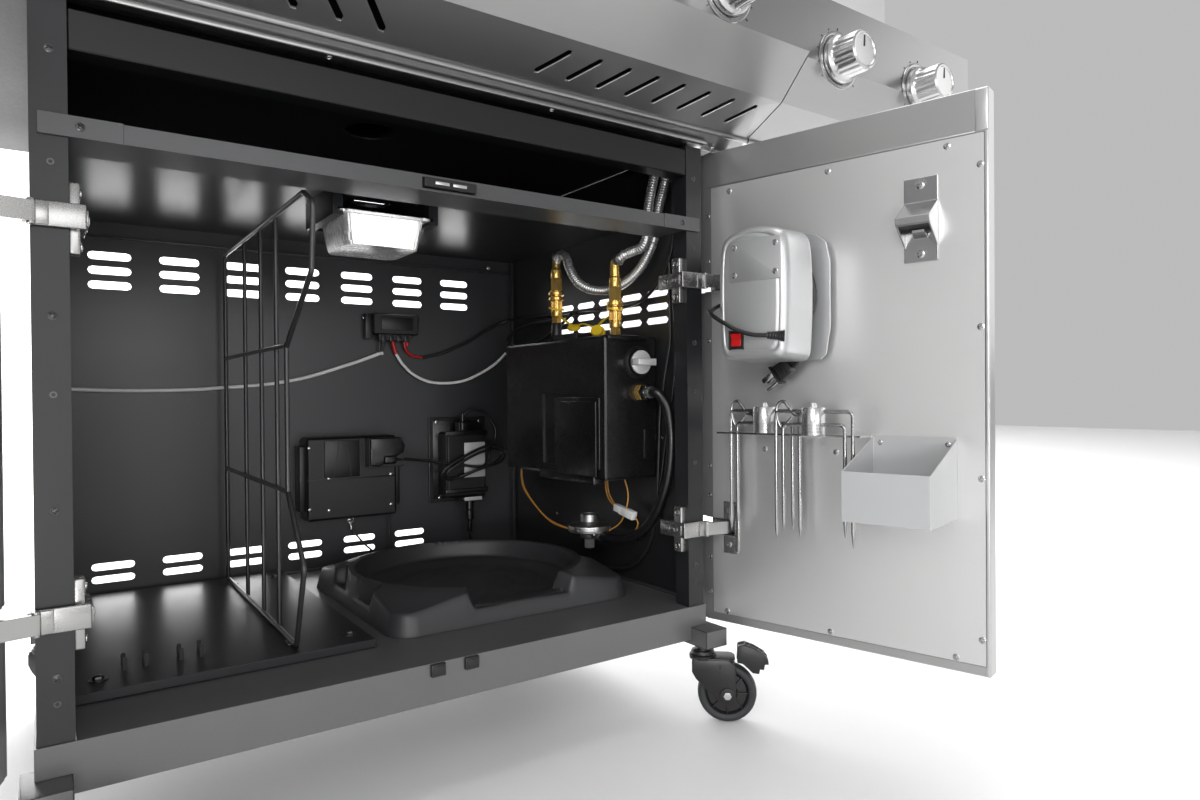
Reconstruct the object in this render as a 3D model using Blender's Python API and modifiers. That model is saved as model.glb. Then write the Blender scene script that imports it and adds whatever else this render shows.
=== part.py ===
"""Gas barbecue grill on a two-door cart: open right-hand cabinet with gas train, and doors, lid, knobs and casters that move."""
import math
import bpy
import bmesh
from mathutils import Matrix, Vector

for o in list(bpy.data.objects):
    bpy.data.objects.remove(o, do_unlink=True)

# ---------------------------------------------------------------- driving sizes (metres)
HALF_W = 0.345          # half width of the cabinet over its posts
POST = 0.025            # square post
BACK_Y = 0.498          # inner face of the back wall
PAN_Z0, PAN_Z1 = 0.108, 0.149
POST_TOP = 0.727
RAIL_Z0, RAIL_Z1 = 0.621, 0.637
CEIL_Z = 0.652
DOOR_Z0, DOOR_Z1 = 0.124, 0.727
DOOR_W, DOOR_T = 0.3425, 0.020
HEADER_Z = 0.682
DOOR_GAP = 0.008        # inner face of a closed door in front of the posts
PIVOT_X, PIVOT_Y = 0.34502, 0.01245
OPEN_DEG = 104.0
HINGE_Z = (0.246, 0.559)
LINK_L = 0.0366
LINK_OPEN = math.radians(-14.2)
BLOCK_Z0, BLOCK_Z1 = 0.102, 0.1235
FLOOR = 0.005           # height of the floor in the cart's own coordinates
WHEEL_R, WHEEL_W = 0.0365, 0.020
CASTER_OFF = 0.030
PANEL_X = 0.405
PANEL_LOW_Z, PANEL_SLOPE = 0.730, 0.65
PANEL_FRONT_Y, PANEL_TOP_Z = -0.125, 0.895
SHELF_X = 0.755
FIRE_Z0, FIRE_Z1 = 0.736, 0.905
SHIFT_Y = -0.1190       # puts the middle of the whole thing over the origin

COL = bpy.data.collections.new("gas_grill")
CUT = bpy.data.collections.new("gas_grill_cutters")
bpy.context.scene.collection.children.link(COL)
bpy.context.scene.collection.children.link(CUT)

FINISH = {
    "black": ((0.030, 0.031, 0.033), 0.35, 0.38),
    "charcoal": ((0.075, 0.077, 0.080), 0.45, 0.36),
    "grey": ((0.22, 0.22, 0.225), 0.50, 0.42),
    "steel": ((0.62, 0.62, 0.61), 1.0, 0.30),
    "silver": ((0.55, 0.56, 0.57), 0.85, 0.34),
    "chrome": ((0.80, 0.80, 0.80), 1.0, 0.12),
    "nickel": ((0.62, 0.61, 0.58), 1.0, 0.22),
    "plastic": ((0.035, 0.036, 0.038), 0.0, 0.48),
    "tray": ((0.085, 0.087, 0.090), 0.0, 0.50),
    "rubber": ((0.020, 0.020, 0.021), 0.0, 0.62),
    "brass": ((0.72, 0.50, 0.20), 1.0, 0.25),
    "foil": ((0.88, 0.88, 0.88), 1.0, 0.24),
    "bin": ((0.66, 0.67, 0.67), 0.2, 0.40),
    "red": ((0.60, 0.03, 0.03), 0.0, 0.35),
    "iron": ((0.045, 0.044, 0.043), 0.2, 0.62),
}


def material(name, kind):
    c, metal, rough = FINISH[kind]
    m = bpy.data.materials.new("mat_" + name)
    m.use_nodes = True
    b = m.node_tree.nodes["Principled BSDF"]
    b.inputs["Base Color"].default_value = (c[0], c[1], c[2], 1.0)
    b.inputs["Metallic"].default_value = metal
    b.inputs["Roughness"].default_value = rough
    m.diffuse_color = (c[0], c[1], c[2], 1.0)
    return m


def empty(name, loc, parent=None, rot_z=0.0):
    e = bpy.data.objects.new(name, None)
    e.empty_display_size = 0.03
    e.location = loc
    e.rotation_euler = (0, 0, rot_z)
    e.parent = parent
    COL.objects.link(e)
    return e


ROOT = empty("grill_root", (0.0, SHIFT_Y, -FLOOR))


def finish(bm, name, kind, parent=None, cutter=False, smooth=False):
    bmesh.ops.recalc_face_normals(bm, faces=bm.faces[:])
    if bm.calc_volume(signed=True) < 0:
        bmesh.ops.reverse_faces(bm, faces=bm.faces[:])
    me = bpy.data.meshes.new(name)
    bm.to_mesh(me)
    bm.free()
    o = bpy.data.objects.new(name, me)
    if cutter:
        CUT.objects.link(o)
        o.hide_render = True
        o.display_type = "WIRE"
    else:
        COL.objects.link(o)
        me.materials.append(material(name, kind))
    o.parent = parent if parent is not None else ROOT
    if smooth:
        for p in me.polygons:
            p.use_smooth = True
    return o


def bm_box(bm, x0, x1, y0, y1, z0, z1):
    vs = [bm.verts.new((x, y, z)) for z in (z0, z1) for y in (y0, y1) for x in (x0, x1)]
    for f in ((0, 2, 3, 1), (4, 5, 7, 6), (0, 1, 5, 4), (2, 6, 7, 3), (0, 4, 6, 2), (1, 3, 7, 5)):
        bm.faces.new([vs[i] for i in f])


def box(name, x, y, z, kind=None, parent=None, bevel=0.0, seg=1, cutter=False):
    bm = bmesh.new()
    bm_box(bm, min(x), max(x), min(y), max(y), min(z), max(z))
    o = finish(bm, name, kind, parent, cutter)
    if bevel:
        add_bevel(o, bevel, seg)
    return o


def add_bevel(o, width, seg=1, angle=50):
    m = o.modifiers.new("edge", "BEVEL")
    m.width = width
    m.segments = seg
    m.limit_method = "ANGLE"
    m.angle_limit = math.radians(angle)
    m.use_clamp_overlap = True
    return m


AXES = {"z": Matrix.Identity(3),
        "x": Matrix(((0, 0, 1), (1, 0, 0), (0, 1, 0))),
        "y": Matrix(((1, 0, 0), (0, 0, 1), (0, 1, 0)))}


def cyl(name, r, a, b, centre, axis="z", kind=None, parent=None, seg=20, cutter=False, r2=None):
    """Cylinder or cone along an axis from a to b, centre given in the other two coordinates (in x,y,z order)."""
    bm = bmesh.new()
    rt = r if r2 is None else r2
    rings = []
    for h, rad in ((a, r), (b, rt)):
        ring = []
        for i in range(seg):
            t = 2 * math.pi * i / seg
            u, v = rad * math.cos(t), rad * math.sin(t)
            if axis == "z":
                p = (centre[0] + u, centre[1] + v, h)
            elif axis == "y":
                p = (centre[0] + u, h, centre[1] + v)
            else:
                p = (h, centre[0] + u, centre[1] + v)
            ring.append(bm.verts.new(p))
        rings.append(ring)
    for i in range(seg):
        j = (i + 1) % seg
        bm.faces.new([rings[0][i], rings[0][j], rings[1][j], rings[1][i]])
    bm.faces.new(rings[0][::-1])
    bm.faces.new(rings[1])
    return finish(bm, name, kind, parent, cutter)


def lathe(name, profile, centre, axis="z", kind=None, parent=None, seg=28, cutter=False, smooth=True):
    """Turned solid; profile is (radius, height) from the bottom axis point to the top axis point."""
    bm = bmesh.new()
    rings = []
    for rad, h in profile:
        n = 1 if rad < 1e-6 else seg
        ring = []
        for i in range(n):
            t = 2 * math.pi * i / seg
            u, v = rad * math.cos(t), rad * math.sin(t)
            if axis == "z":
                p = (centre[0] + u, centre[1] + v, centre[2] + h)
            elif axis == "y":
                p = (centre[0] + u, centre[1] + h, centre[2] + v)
            else:
                p = (centre[0] + h, centre[1] + u, centre[2] + v)
            ring.append(bm.verts.new(p))
        rings.append(ring)
    for a, b in zip(rings, rings[1:]):
        for i in range(seg):
            j = (i + 1) % seg
            if len(a) == 1 and len(b) == 1:
                continue
            if len(a) == 1:
                bm.faces.new([a[0], b[j], b[i]])
            elif len(b) == 1:
                bm.faces.new([a[i], a[j], b[0]])
            else:
                bm.faces.new([a[i], a[j], b[j], b[i]])
    if len(rings[0]) > 1 and profile[0] != profile[-1]:
        bm.faces.new(rings[0][::-1])
        bm.faces.new(rings[-1])
    elif profile[0] == profile[-1]:
        bmesh.ops.remove_doubles(bm, verts=bm.verts[:], dist=1e-6)
    o = finish(bm, name, kind, parent, cutter)
    if smooth:
        for p in o.data.polygons:
            p.use_smooth = True
    return o


def prism(name, loops, a, b, plane="xy", kind=None, parent=None, cutter=False):
    """Flat outline with holes, extruded between a and b across the plane."""
    cu = bpy.data.curves.new(name + "_outline", "CURVE")
    cu.dimensions = "2D"
    cu.fill_mode = "BOTH"
    cu.extrude = 0.5
    for loop in loops:
        sp = cu.splines.new("POLY")
        sp.points.add(len(loop) - 1)
        for i, (u, v) in enumerate(loop):
            sp.points[i].co = (u, v, 0.0, 1.0)
        sp.use_cyclic_u = True
    co = bpy.data.objects.new(name + "_outline", cu)
    bpy.context.scene.collection.objects.link(co)
    dg = bpy.context.evaluated_depsgraph_get()
    me = bpy.data.meshes.new_from_object(co.evaluated_get(dg))
    bm = bmesh.new()
    bm.from_mesh(me)
    bpy.data.objects.remove(co, do_unlink=True)
    bpy.data.curves.remove(cu)
    bpy.data.meshes.remove(me)
    bmesh.ops.remove_doubles(bm, verts=bm.verts[:], dist=1e-6)
    for v in bm.verts:
        u, w, t = v.co
        h = a + (t + 0.5) * (b - a)
        v.co = {"xy": (u, w, h), "xz": (u, h, w), "yz": (h, u, w)}[plane]
    return finish(bm, name, kind, parent, cutter)


def rect(u0, u1, v0, v1):
    return [(u0, v0), (u1, v0), (u1, v1), (u0, v1)]


def slot(cu, cv, length, width, n=2):
    """Rounded slot outline lying along u."""
    r = width / 2
    d = length / 2 - r
    out = []
    for s, base in ((1, -90), (-1, 90)):
        for i in range(n + 1):
            t = math.radians(base + 180 * i / n)
            out.append((cu + s * d + r * math.cos(t), cv + r * math.sin(t)))
    return out


def rrect(u0, u1, v0, v1, r, n=3):
    out = []
    for cx, cy, base in ((u1 - r, v0 + r, -90), (u1 - r, v1 - r, 0), (u0 + r, v1 - r, 90), (u0 + r, v0 + r, 180)):
        for i in range(n + 1):
            t = math.radians(base + 90 * i / n)
            out.append((cx + r * math.cos(t), cy + r * math.sin(t)))
    return out


def catmull(pts, n):
    P = [Vector(p) for p in pts]
    P = [2 * P[0] - P[1]] + P + [2 * P[-1] - P[-2]]
    out = []
    for i in range(1, len(P) - 2):
        for k in range(n):
            t = k / n
            a, b, c, d = P[i - 1], P[i], P[i + 1], P[i + 2]
            out.append(0.5 * ((2 * b) + (c - a) * t + (2 * a - 5 * b + 4 * c - d) * t * t
                              + (3 * b - a - 3 * c + d) * t * t * t))
    out.append(P[-2])
    return out


def tube(name, pts, r, kind=None, parent=None, seg=8, cutter=False, radii=None):
    """Round bar swept along a path, closed by flat ends."""
    P = [Vector(p) for p in pts]
    bm = bmesh.new()
    T = []
    for i in range(len(P)):
        a = P[i] - P[i - 1] if i else P[1] - P[0]
        b = P[i + 1] - P[i] if i < len(P) - 1 else P[-1] - P[-2]
        T.append((a.normalized() + b.normalized()).normalized())
    up = Vector((0, 0, 1)) if abs(T[0].z) < 0.9 else Vector((1, 0, 0))
    nrm = T[0].cross(up).normalized()
    rings = []
    for i, p in enumerate(P):
        if i:
            q = T[i - 1].rotation_difference(T[i])
            nrm = (q @ nrm).normalized()
        bn = T[i].cross(nrm).normalized()
        rad = radii[i] if radii else r
        k = 1.0
        if 0 < i < len(P) - 1:
            c = (P[i] - P[i - 1]).normalized().dot(T[i])
            k = 1.0 / max(c, 0.75)
        ring = []
        for j in range(seg):
            t = 2 * math.pi * (j + 0.5) / seg
            ring.append(bm.verts.new(p + rad * (nrm * math.cos(t) + bn * math.sin(t)) * (k if k < 1.2 else 1.1)))
        rings.append(ring)
    for a, b in zip(rings, rings[1:]):
        for j in range(seg):
            m = (j + 1) % seg
            bm.faces.new([a[j], a[m], b[m], b[j]])
    bm.faces.new(rings[0][::-1])
    bm.faces.new(rings[-1])
    return finish(bm, name, kind, parent, cutter, smooth=True)


def boolean(target, other, op="DIFFERENCE"):
    m = target.modifiers.new(op.lower()[:4] + "_" + other.name, "BOOLEAN")
    m.operation = op
    m.solver = "EXACT"
    m.object = other
    return m


def cut(target, *others):
    for o in others:
        boolean(target, o)
    return target


def fuse(target, *others):
    for o in others:
        boolean(target, o, "UNION")
    return target


def boxes(name, ranges, parent=None):
    """One cutter made of several separate boxes."""
    bm = bmesh.new()
    for r in ranges:
        bm_box(bm, *r)
    return finish(bm, name, None, parent, cutter=True)


# ================================================================ cart
def side_frame(side, s):
    n = "side_frame_" + side
    o = box(n, (s * 0.3438, s * HALF_W), (0.012, 0.512), (0.1495, POST_TOP), "charcoal")
    if s > 0:
        cut(o, side_slots())
    ops = []
    for tag, y0, y1 in (("front", 0.0003, 0.0253), ("rear", 0.4997, 0.5247)):
        ops.append(box("%s_%s_post" % (n, tag), (s * 0.3200, s * HALF_W), (y0, y1), (0.1225, POST_TOP), cutter=True))
    ops.append(box(n + "_front_block", (s * 0.3220, s * 0.3560), (-0.0290, 0.0220), (BLOCK_Z0, BLOCK_Z1), cutter=True))
    ops.append(box(n + "_rear_block", (s * 0.3220, s * 0.3560), (0.5030, 0.5540), (BLOCK_Z0, BLOCK_Z1), cutter=True))
    for z in HINGE_Z:
        # arm of a concealed hinge: base plate inside the post, strap across its front
        t = "%s_hinge_%d_" % (n, round(z * 1000))
        ops.append(box(t + "strap", (s * 0.3090, s * 0.3470), (-0.0045, -0.0020), (z - 0.0095, z + 0.0095), cutter=True))
        ops.append(box(t + "leg", (s * 0.3090, s * 0.3140), (-0.0040, 0.0420), (z - 0.0090, z + 0.0090), cutter=True))
        ops.append(box(t + "plate", (s * 0.3130, s * 0.3208), (0.0060, 0.0200), (z - 0.0280, z + 0.0280), cutter=True))
    fuse(o, *ops)
    return o


def side_slots():
    """Three rows of vent slots through the right side wall."""
    bm = bmesh.new()
    for row in range(3):
        z = 0.5535 - 0.0185 * row
        for k in range(5):
            y = 0.088 + 0.0575 * k
            pts = []
            for s, base in ((1, -90), (-1, 90)):
                for i in range(3):
                    t = math.radians(base + 90 * i)
                    pts.append((y + s * 0.0195 + 0.0045 * math.cos(t), z + 0.0045 * math.sin(t)))
            a = [bm.verts.new((0.340, u, v)) for u, v in pts]
            b = [bm.verts.new((0.349, u, v)) for u, v in pts]
            m = len(pts)
            for i in range(m):
                j = (i + 1) % m
                bm.faces.new([a[i], a[j], b[j], b[i]])
            bm.faces.new(a[::-1])
            bm.faces.new(b)
    return finish(bm, "side_slots", None, None, cutter=True)


side_frame("left", -1)
side_frame("right", 1)

pan = box("bottom_shelf", (-0.3467, 0.3467), (-0.0017, 0.5267), (PAN_Z0, PAN_Z1), "grey")
cuts = [(-0.3452, 0.3452, -0.0002, 0.5252, PAN_Z0 - 0.01, PAN_Z1 - 0.0015)]
cut(pan, boxes("bottom_shelf_hollow", cuts))
notch = []
for s in (-1, 1):
    x0, x1 = sorted((s * 0.3195, s * 0.34535))
    notch.append((x0, x1, 0.00005, 0.0257, 0.14, 0.155))
    notch.append((x0, x1, 0.4993, 0.52505, 0.14, 0.155))
cut(pan, boxes("bottom_shelf_post_holes", notch))
notch = []
for s in (-1, 1):
    x0, x1 = sorted((s * 0.3217, s * 0.360))
    notch.append((x0, x1, -0.035, 0.0224, 0.098, 0.1240))
    notch.append((x0, x1, 0.5026, 0.56, 0.098, 0.1240))
cut(pan, boxes("bottom_shelf_block_notches", notch))

rp = box("raised_shelf_panel", (-0.3190, -0.0520), (0.0800, 0.4880), (0.1495, 0.1585), "black", bevel=0.0008)
cut(rp, boxes("raised_shelf_hollow", [(-0.3178, -0.0532, 0.0812, 0.4868, 0.148, 0.1573)]))

cols_up = [-0.2649 + 0.0831 * i for i in range(7)]
loops = [rect(-0.3432, 0.3432, 0.1500, 0.7265)]
for z in (0.568, 0.5875, 0.607):
    for x in cols_up:
        loops.append(slot(x, z, 0.050, 0.0105, 4))
for z in (0.175, 0.192):
    for x in cols_up[:-1]:
        loops.append(slot(x, z, 0.050, 0.0095, 4))
prism("back_panel", loops, BACK_Y, BACK_Y + 0.0014, "xz", "charcoal")

rail = box("front_cross_rail", (-0.3195, 0.3195), (-0.0012, 0.0560), (RAIL_Z0, RAIL_Z1), "grey")
cut(rail, box("front_cross_rail_hollow", (-0.33, 0.33), (0.0002, 0.060), (RAIL_Z0 + 0.0014, RAIL_Z1 - 0.0014), cutter=True),
    box("front_cross_rail_open_top", (-0.33, 0.33), (0.0220, 0.065), (RAIL_Z0 + 0.0060, RAIL_Z1 + 0.0020), cutter=True))
for s, t in ((-1, "l"), (1, "r")):
    fuse(rail, box("rail_lap_" + t, (s * 0.2830, s * 0.3395), (-0.0025, -0.0006), (RAIL_Z0 - 0.0004, RAIL_Z1 + 0.0004), cutter=True))
cut(rail, box("rail_catch_window", (-0.0290, 0.0290), (-0.01, 0.0100), (0.6235, 0.6345), cutter=True))

top = box("top_front_rail", (-0.3196, 0.3196), (0.0005, 0.0250), (0.690, 0.7220), "black", bevel=0.001)
cut(top, box("top_front_rail_bore", (-0.34, 0.34), (0.0020, 0.0235), (0.6915, 0.7205), cutter=True))

ceil = box("cabinet_ceiling", (-0.3430, 0.3430), (0.0580, 0.4974), (CEIL_Z, CEIL_Z + 0.0012), "charcoal")
fuse(ceil, box("ceiling_front_lip", (-0.3190, 0.3190), (0.0580, 0.0592), (0.6380, CEIL_Z + 0.0012), cutter=True),
     box("cup_hanger_block", (-0.0740, 0.0480), (0.1400, 0.2500), (0.6200, CEIL_Z + 0.0006), cutter=True))
cut(ceil, box("cup_hanger_hollow", (-0.0640, 0.0380), (0.1300, 0.2480), (0.6180, 0.6500), cutter=True),
    box("ceiling_hose_gap", (0.2980, 0.3420), (0.0600, 0.0860), (0.6400, 0.6700), cutter=True),
    box("cup_hanger_groove", (-0.0695, 0.0435), (0.1310, 0.2485), (0.6235, 0.6280), cutter=True),
    cyl("drain_hole", 0.022, 0.64, 0.66, (-0.013, 0.195), "z", seg=20, cutter=True))
cup = box("grease_cup", (-0.0630, 0.0370), (0.1410, 0.2440), (0.5900, 0.6250), "foil")
for v in cup.data.vertices:
    if v.co.z < 0.608:
        v.co.x = -0.013 + (v.co.x + 0.013) * 0.86
        v.co.y = 0.1925 + (v.co.y - 0.1925) * 0.86
fuse(cup, box("grease_cup_rim", (-0.0680, 0.0420), (0.1390, 0.2470), (0.6245, 0.6270), cutter=True))
inner = box("grease_cup_hollow", (-0.0615, 0.0355), (0.1425, 0.2425), (0.5915, 0.6300), cutter=True)
for v in inner.data.vertices:
    if v.co.z < 0.608:
        v.co.x = -0.013 + (v.co.x + 0.013) * 0.86
        v.co.y = 0.1925 + (v.co.y - 0.1925) * 0.86
cut(cup, inner)

catch = box("magnet_catch", (-0.0280, 0.0280), (-0.0062, 0.0095), (0.6245, 0.6335), "plastic", bevel=0.0006)
cut(catch, boxes("magnet_catch_grooves", [(-0.018, -0.001, -0.008, -0.0052, 0.6275, 0.6305),
                                          (0.001, 0.018, -0.008, -0.0052, 0.6275, 0.6305)]))

# ================================================================ cabinet contents
TX0, TX1, TY0, TY1 = -0.030, 0.300, 0.086, 0.412
tcx, tcy = 0.135, 0.249
tray = prism("tank_tray", [rrect(TX0, TX1, TY0, TY1, 0.030, 4)], 0.1494, 0.1680, "xy", "tray")
fuse(tray, lathe("tank_tray_dome", [(0.0, -0.0140), (0.1600, -0.0140), (0.1540, 0.0220), (0.0, 0.0220)],
                 (tcx, tcy, 0.1680), "z", seg=40, cutter=True))
fuse(tray, *[box("tray_corner_%d" % i, (x0, x1), (y0, y1), (0.1610, 0.1757), cutter=True)
             for i, (x0, x1, y0, y1) in enumerate(((-0.0203, 0.0587, 0.0957, 0.1693), (0.2113, 0.2903, 0.0957, 0.1693),
                                                   (-0.0203, 0.0587, 0.3287, 0.4023), (0.2113, 0.2903, 0.3287, 0.4023)))])
cut(tray, lathe("tank_tray_bowl", [(0.0, -0.0100), (0.1120, -0.0100), (0.1360, 0.0060), (0.1420, 0.0300), (0.0, 0.0300)],
                (tcx, tcy, 0.1680), "z", seg=40, cutter=True),
    box("tank_tray_scoop", (0.0671, 0.2029), (0.0700, 0.1311), (0.1693, 0.2000), cutter=True))

rack_outer = [(0.4720, 0.1590), (0.4720, 0.6190), (0.0560, 0.6190), (0.0200, 0.6030), (0.0270, 0.5360), (0.1270, 0.4690),
              (0.1270, 0.3190), (0.0640, 0.2470), (0.0980, 0.1590)]


def inset(path, d):
    """Offset a closed outline by d towards its left."""
    out = []
    n = len(path)
    for i in range(n):
        a, b, c = (Vector(path[i - 1]), Vector(path[i]), Vector(path[(i + 1) % n]))
        e1 = (b - a).normalized()
        e2 = (c - b).normalized()
        n1 = Vector((-e1.y, e1.x))
        n2 = Vector((-e2.y, e2.x))
        m = (n1 + n2).normalized()
        out.append(tuple(b + m * d / max(m.dot(n1), 0.3)))
    return out


cells = []
v_y = [0.353, 0.261, 0.185]
edges_y = [0.4720] + v_y
# three full-height bays between the upright wires
for z0, z1 in ((0.1640, 0.3140), (0.3190, 0.4690), (0.4745, 0.6145)):
    for k in range(3):
        y1 = edges_y[k] - (0.005 if k == 0 else 0.0025)
        y0 = edges_y[k + 1] + 0.0025
        cells.append(rect(y0, y1, z0, z1))
# the shaped bay at the front
cells.append([(0.1825, 0.4745), (0.1825, 0.6145), (0.0572, 0.6145), (0.0252, 0.6000), (0.0318, 0.5392), (0.1290, 0.4745)])
cells.append([(0.1825, 0.3215), (0.1825, 0.4690), (0.1320, 0.4690), (0.1320, 0.3215)])
cells.append([(0.1825, 0.1640), (0.1825, 0.3165), (0.1300, 0.3165), (0.0695, 0.2455), (0.1010, 0.1640)])
rack = prism("divider_rack", [rack_outer] + cells, -0.1310, -0.1260, "yz", "iron")

sb = box("selector_box", (0.2530, 0.3415), (0.0860, 0.3500), (0.3040, 0.4940), "black", bevel=0.004, seg=2)
cut(sb, box("selector_box_recess", (0.2500, 0.2560), (0.1300, 0.2400), (0.3180, 0.4180), cutter=True),
    cyl("selector_shaft_hole", 0.0042, 0.080, 0.100, (0.3070, 0.4590), "y", seg=16, cutter=True))
fuse(sb, box("selector_box_cap", (0.2600, 0.3300), (0.1600, 0.2200), (0.4920, 0.5020), cutter=True),
     cyl("selector_outlet", 0.0105, 0.0680, 0.0900, (0.3110, 0.4190), "y", seg=6, cutter=True))

sk = lathe("selector_knob", [(0.0, -0.0010), (0.0165, -0.0010), (0.0165, -0.0085), (0.0150, -0.0100), (0.0, -0.0100)],
           (0, 0, 0), "y", "silver", None, seg=28)
sk.location = (0.3070, 0.0850, 0.4590)
fuse(sk, box("selector_knob_bar", (-0.0045, 0.0045), (-0.0230, -0.0095), (-0.0160, 0.0160), parent=sk, cutter=True),
     cyl("selector_knob_shaft", 0.0036, -0.0030, 0.0120, (0, 0), "y", parent=sk, seg=14, cutter=True))


def gas_line(name, base, foot, path, kind="nickel"):
    """Flexible line ending in a quick coupling that stands on the box."""
    x, y, z = base
    o = tube(name, catmull(path, 4), 0.0067, kind, seg=8)
    q = lathe(name + "_coupling", [(0.0, -foot), (0.0060, -foot), (0.0060, 0.0), (0.0070, 0.0), (0.0070, 0.014), (0.0100, 0.014), (0.0100, 0.052),
                                   (0.0120, 0.052), (0.0120, 0.060), (0.0090, 0.060), (0.0090, 0.082), (0.0, 0.082)],
              (x, y, z), "z", seg=12, cutter=True, smooth=False)
    fuse(o, q)
    return o


gas_line("gas_line_a", (0.2830, 0.2480, 0.5240), 0.0295,
         [(0.2830, 0.2480, 0.6000), (0.2830, 0.2450, 0.6150), (0.2825, 0.2320, 0.6210), (0.2800, 0.2150, 0.6140), (0.2780, 0.2020, 0.5950),
          (0.2830, 0.1900, 0.5760), (0.2960, 0.1730, 0.5650), (0.3120, 0.1540, 0.5640), (0.3250, 0.1300, 0.5740), (0.3320, 0.1040, 0.5940),
          (0.3335, 0.0790, 0.6280), (0.3335, 0.0720, 0.6600), (0.3340, 0.0560, 0.7000), (0.3340, 0.0440, 0.7280)])
gas_line("gas_line_b", (0.3000, 0.1250, 0.4945), 0.0004,
         [(0.3000, 0.1250, 0.5700), (0.3000, 0.1240, 0.5930), (0.3040, 0.1160, 0.6040), (0.3110, 0.1000, 0.6090),
          (0.3160, 0.0830, 0.6140), (0.3165, 0.0730, 0.6320), (0.3165, 0.0720, 0.6600), (0.3170, 0.0600, 0.7000),
          (0.3180, 0.0440, 0.7280)])

reg = lathe("regulator", [(0.0, -0.0160), (0.0120, -0.0160), (0.0130, -0.0080), (0.0290, -0.0050), (0.0310, 0.0000),
                          (0.0290, 0.0055), (0.0150, 0.0090), (0.0125, 0.0100), (0.0125, 0.0200), (0.0, 0.0200)],
            (0.2990, 0.1900, 0.2260), "z", "silver", seg=28)
hose_path = [(0.2990, 0.1750, 0.2200), (0.3060, 0.1500, 0.2160), (0.3160, 0.1150, 0.2200), (0.3230, 0.0800, 0.2450),
             (0.3260, 0.0500, 0.2950), (0.3270, 0.0400, 0.3500), (0.3230, 0.0420, 0.3950), (0.3150, 0.0500, 0.4180),
             (0.3110, 0.0580, 0.4190), (0.3110, 0.0676, 0.4190)]
fuse(reg, tube("regulator_hose_run", catmull(hose_path, 4), 0.0068, seg=8, cutter=True),
     cyl("regulator_tail", 0.0080, -0.0300, -0.0100, (0.2990, 0.1900), "z", seg=6, cutter=True))
reg.modifiers[-1].object.location = (0, 0, 0.2260)

jb = box("junction_block", (0.0860, 0.1600), (0.4740, 0.4977), (0.5150, 0.5480), "plastic", bevel=0.0015)
fuse(jb, box("junction_ear_l", (0.0740, 0.0900), (0.4955, 0.4977), (0.5380, 0.5460), cutter=True),
     box("junction_ear_r", (0.1560, 0.1700), (0.4955, 0.4977), (0.5380, 0.5460), cutter=True),
     box("junction_terminals", (0.0960, 0.1500), (0.4780, 0.4900), (0.5060, 0.5160), cutter=True))

cb = box("control_box", (-0.0220, 0.1160), (0.4620, 0.4977), (0.2300, 0.3550), "plastic", bevel=0.003)
fuse(cb, box("control_box_flange", (-0.0300, 0.1240), (0.4952, 0.4977), (0.2420, 0.3430), cutter=True),
     box("control_box_plug", (0.0650, 0.1200), (0.4400, 0.4640), (0.3080, 0.3520), cutter=True))

pa = box("power_adapter", (0.2000, 0.2720), (0.4580, 0.4940), (0.2480, 0.3560), "plastic", bevel=0.003)
fuse(pa, box("adapter_plate", (0.1840, 0.2880), (0.4935, 0.4977), (0.2380, 0.3800), cutter=True),
     box("adapter_neck", (0.2250, 0.2450), (0.4640, 0.4800), (0.3540, 0.3720), cutter=True))


# ================================================================ casters
def caster(tag, x, y, swing_deg, brake):
    piv = empty("caster_%s_swivel" % tag, (x, y, FLOOR), ROOT, math.radians(swing_deg))
    n = "caster_fork_" + tag
    f = box(n, (-0.0140, 0.0410), (-0.0160, 0.0160), (0.0260, 0.0820), "black", piv, bevel=0.0025)
    cut(f, boxes(n + "_slot", [(-0.020, 0.050, -0.0125, 0.0125, 0.020, 0.0765)], piv))
    wedge = prism(n + "_trim", [[(-0.030, 0.010), (0.016, 0.010), (0.016, 0.0300), (-0.016, 0.0640), (-0.030, 0.0640)]],
                  -0.030, 0.030, "xz", parent=piv, cutter=True)
    cut(f, wedge)
    fuse(f, lathe(n + "_stem", [(0.0, 0.0810), (0.0150, 0.0810), (0.0150, 0.0885), (0.0075, 0.0905), (0.0075, 0.0967), (0.0, 0.0967)],
                  (0, 0, 0), "z", parent=piv, seg=20, cutter=True, smooth=False),
         cyl(n + "_axle", 0.0034, -0.0150, 0.0150, (CASTER_OFF, WHEEL_R), "y", parent=piv, seg=12, cutter=True))
    w = lathe("caster_wheel_" + tag,
              [(0.0038, -0.0100), (0.0130, -0.0100), (0.0150, -0.0075), (0.0270, -0.0075), (0.0300, -0.0100), (0.0350, -0.0080),
               (WHEEL_R, -0.0030), (WHEEL_R, 0.0030), (0.0350, 0.0080), (0.0300, 0.0100), (0.0270, 0.0075), (0.0150, 0.0075),
               (0.0130, 0.0100), (0.0038, 0.0100), (0.0038, -0.0100)],
              (0, 0, 0), "y", "rubber", piv, seg=24)
    w.location = (CASTER_OFF, 0, WHEEL_R)
    if brake:
        teeth = [(-0.0030, -0.0040), (0.0040, -0.0050), (0.0160, -0.0160), (0.0240, -0.0170), (0.0250, -0.0110), (0.0300, -0.0120),
                 (0.0310, -0.0050), (0.0360, -0.0050), (0.0350, 0.0020), (0.0300, 0.0080), (0.0180, 0.0150), (0.0060, 0.0190),
                 (-0.0020, 0.0170)]
        b = prism("brake_lever_" + tag, [teeth], -0.0100, 0.0100, "xz", "plastic", piv)
        b.location = (0.0455, 0, 0.0790)
    return piv


caster("front_right", 0.339, -0.0035, -42.0, True)
caster("front_left", -0.339, -0.0035, -42.0, True)
caster("rear_right", 0.339, 0.5285, -42.0, False)
caster("rear_left", -0.339, 0.5285, -42.0, False)


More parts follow.
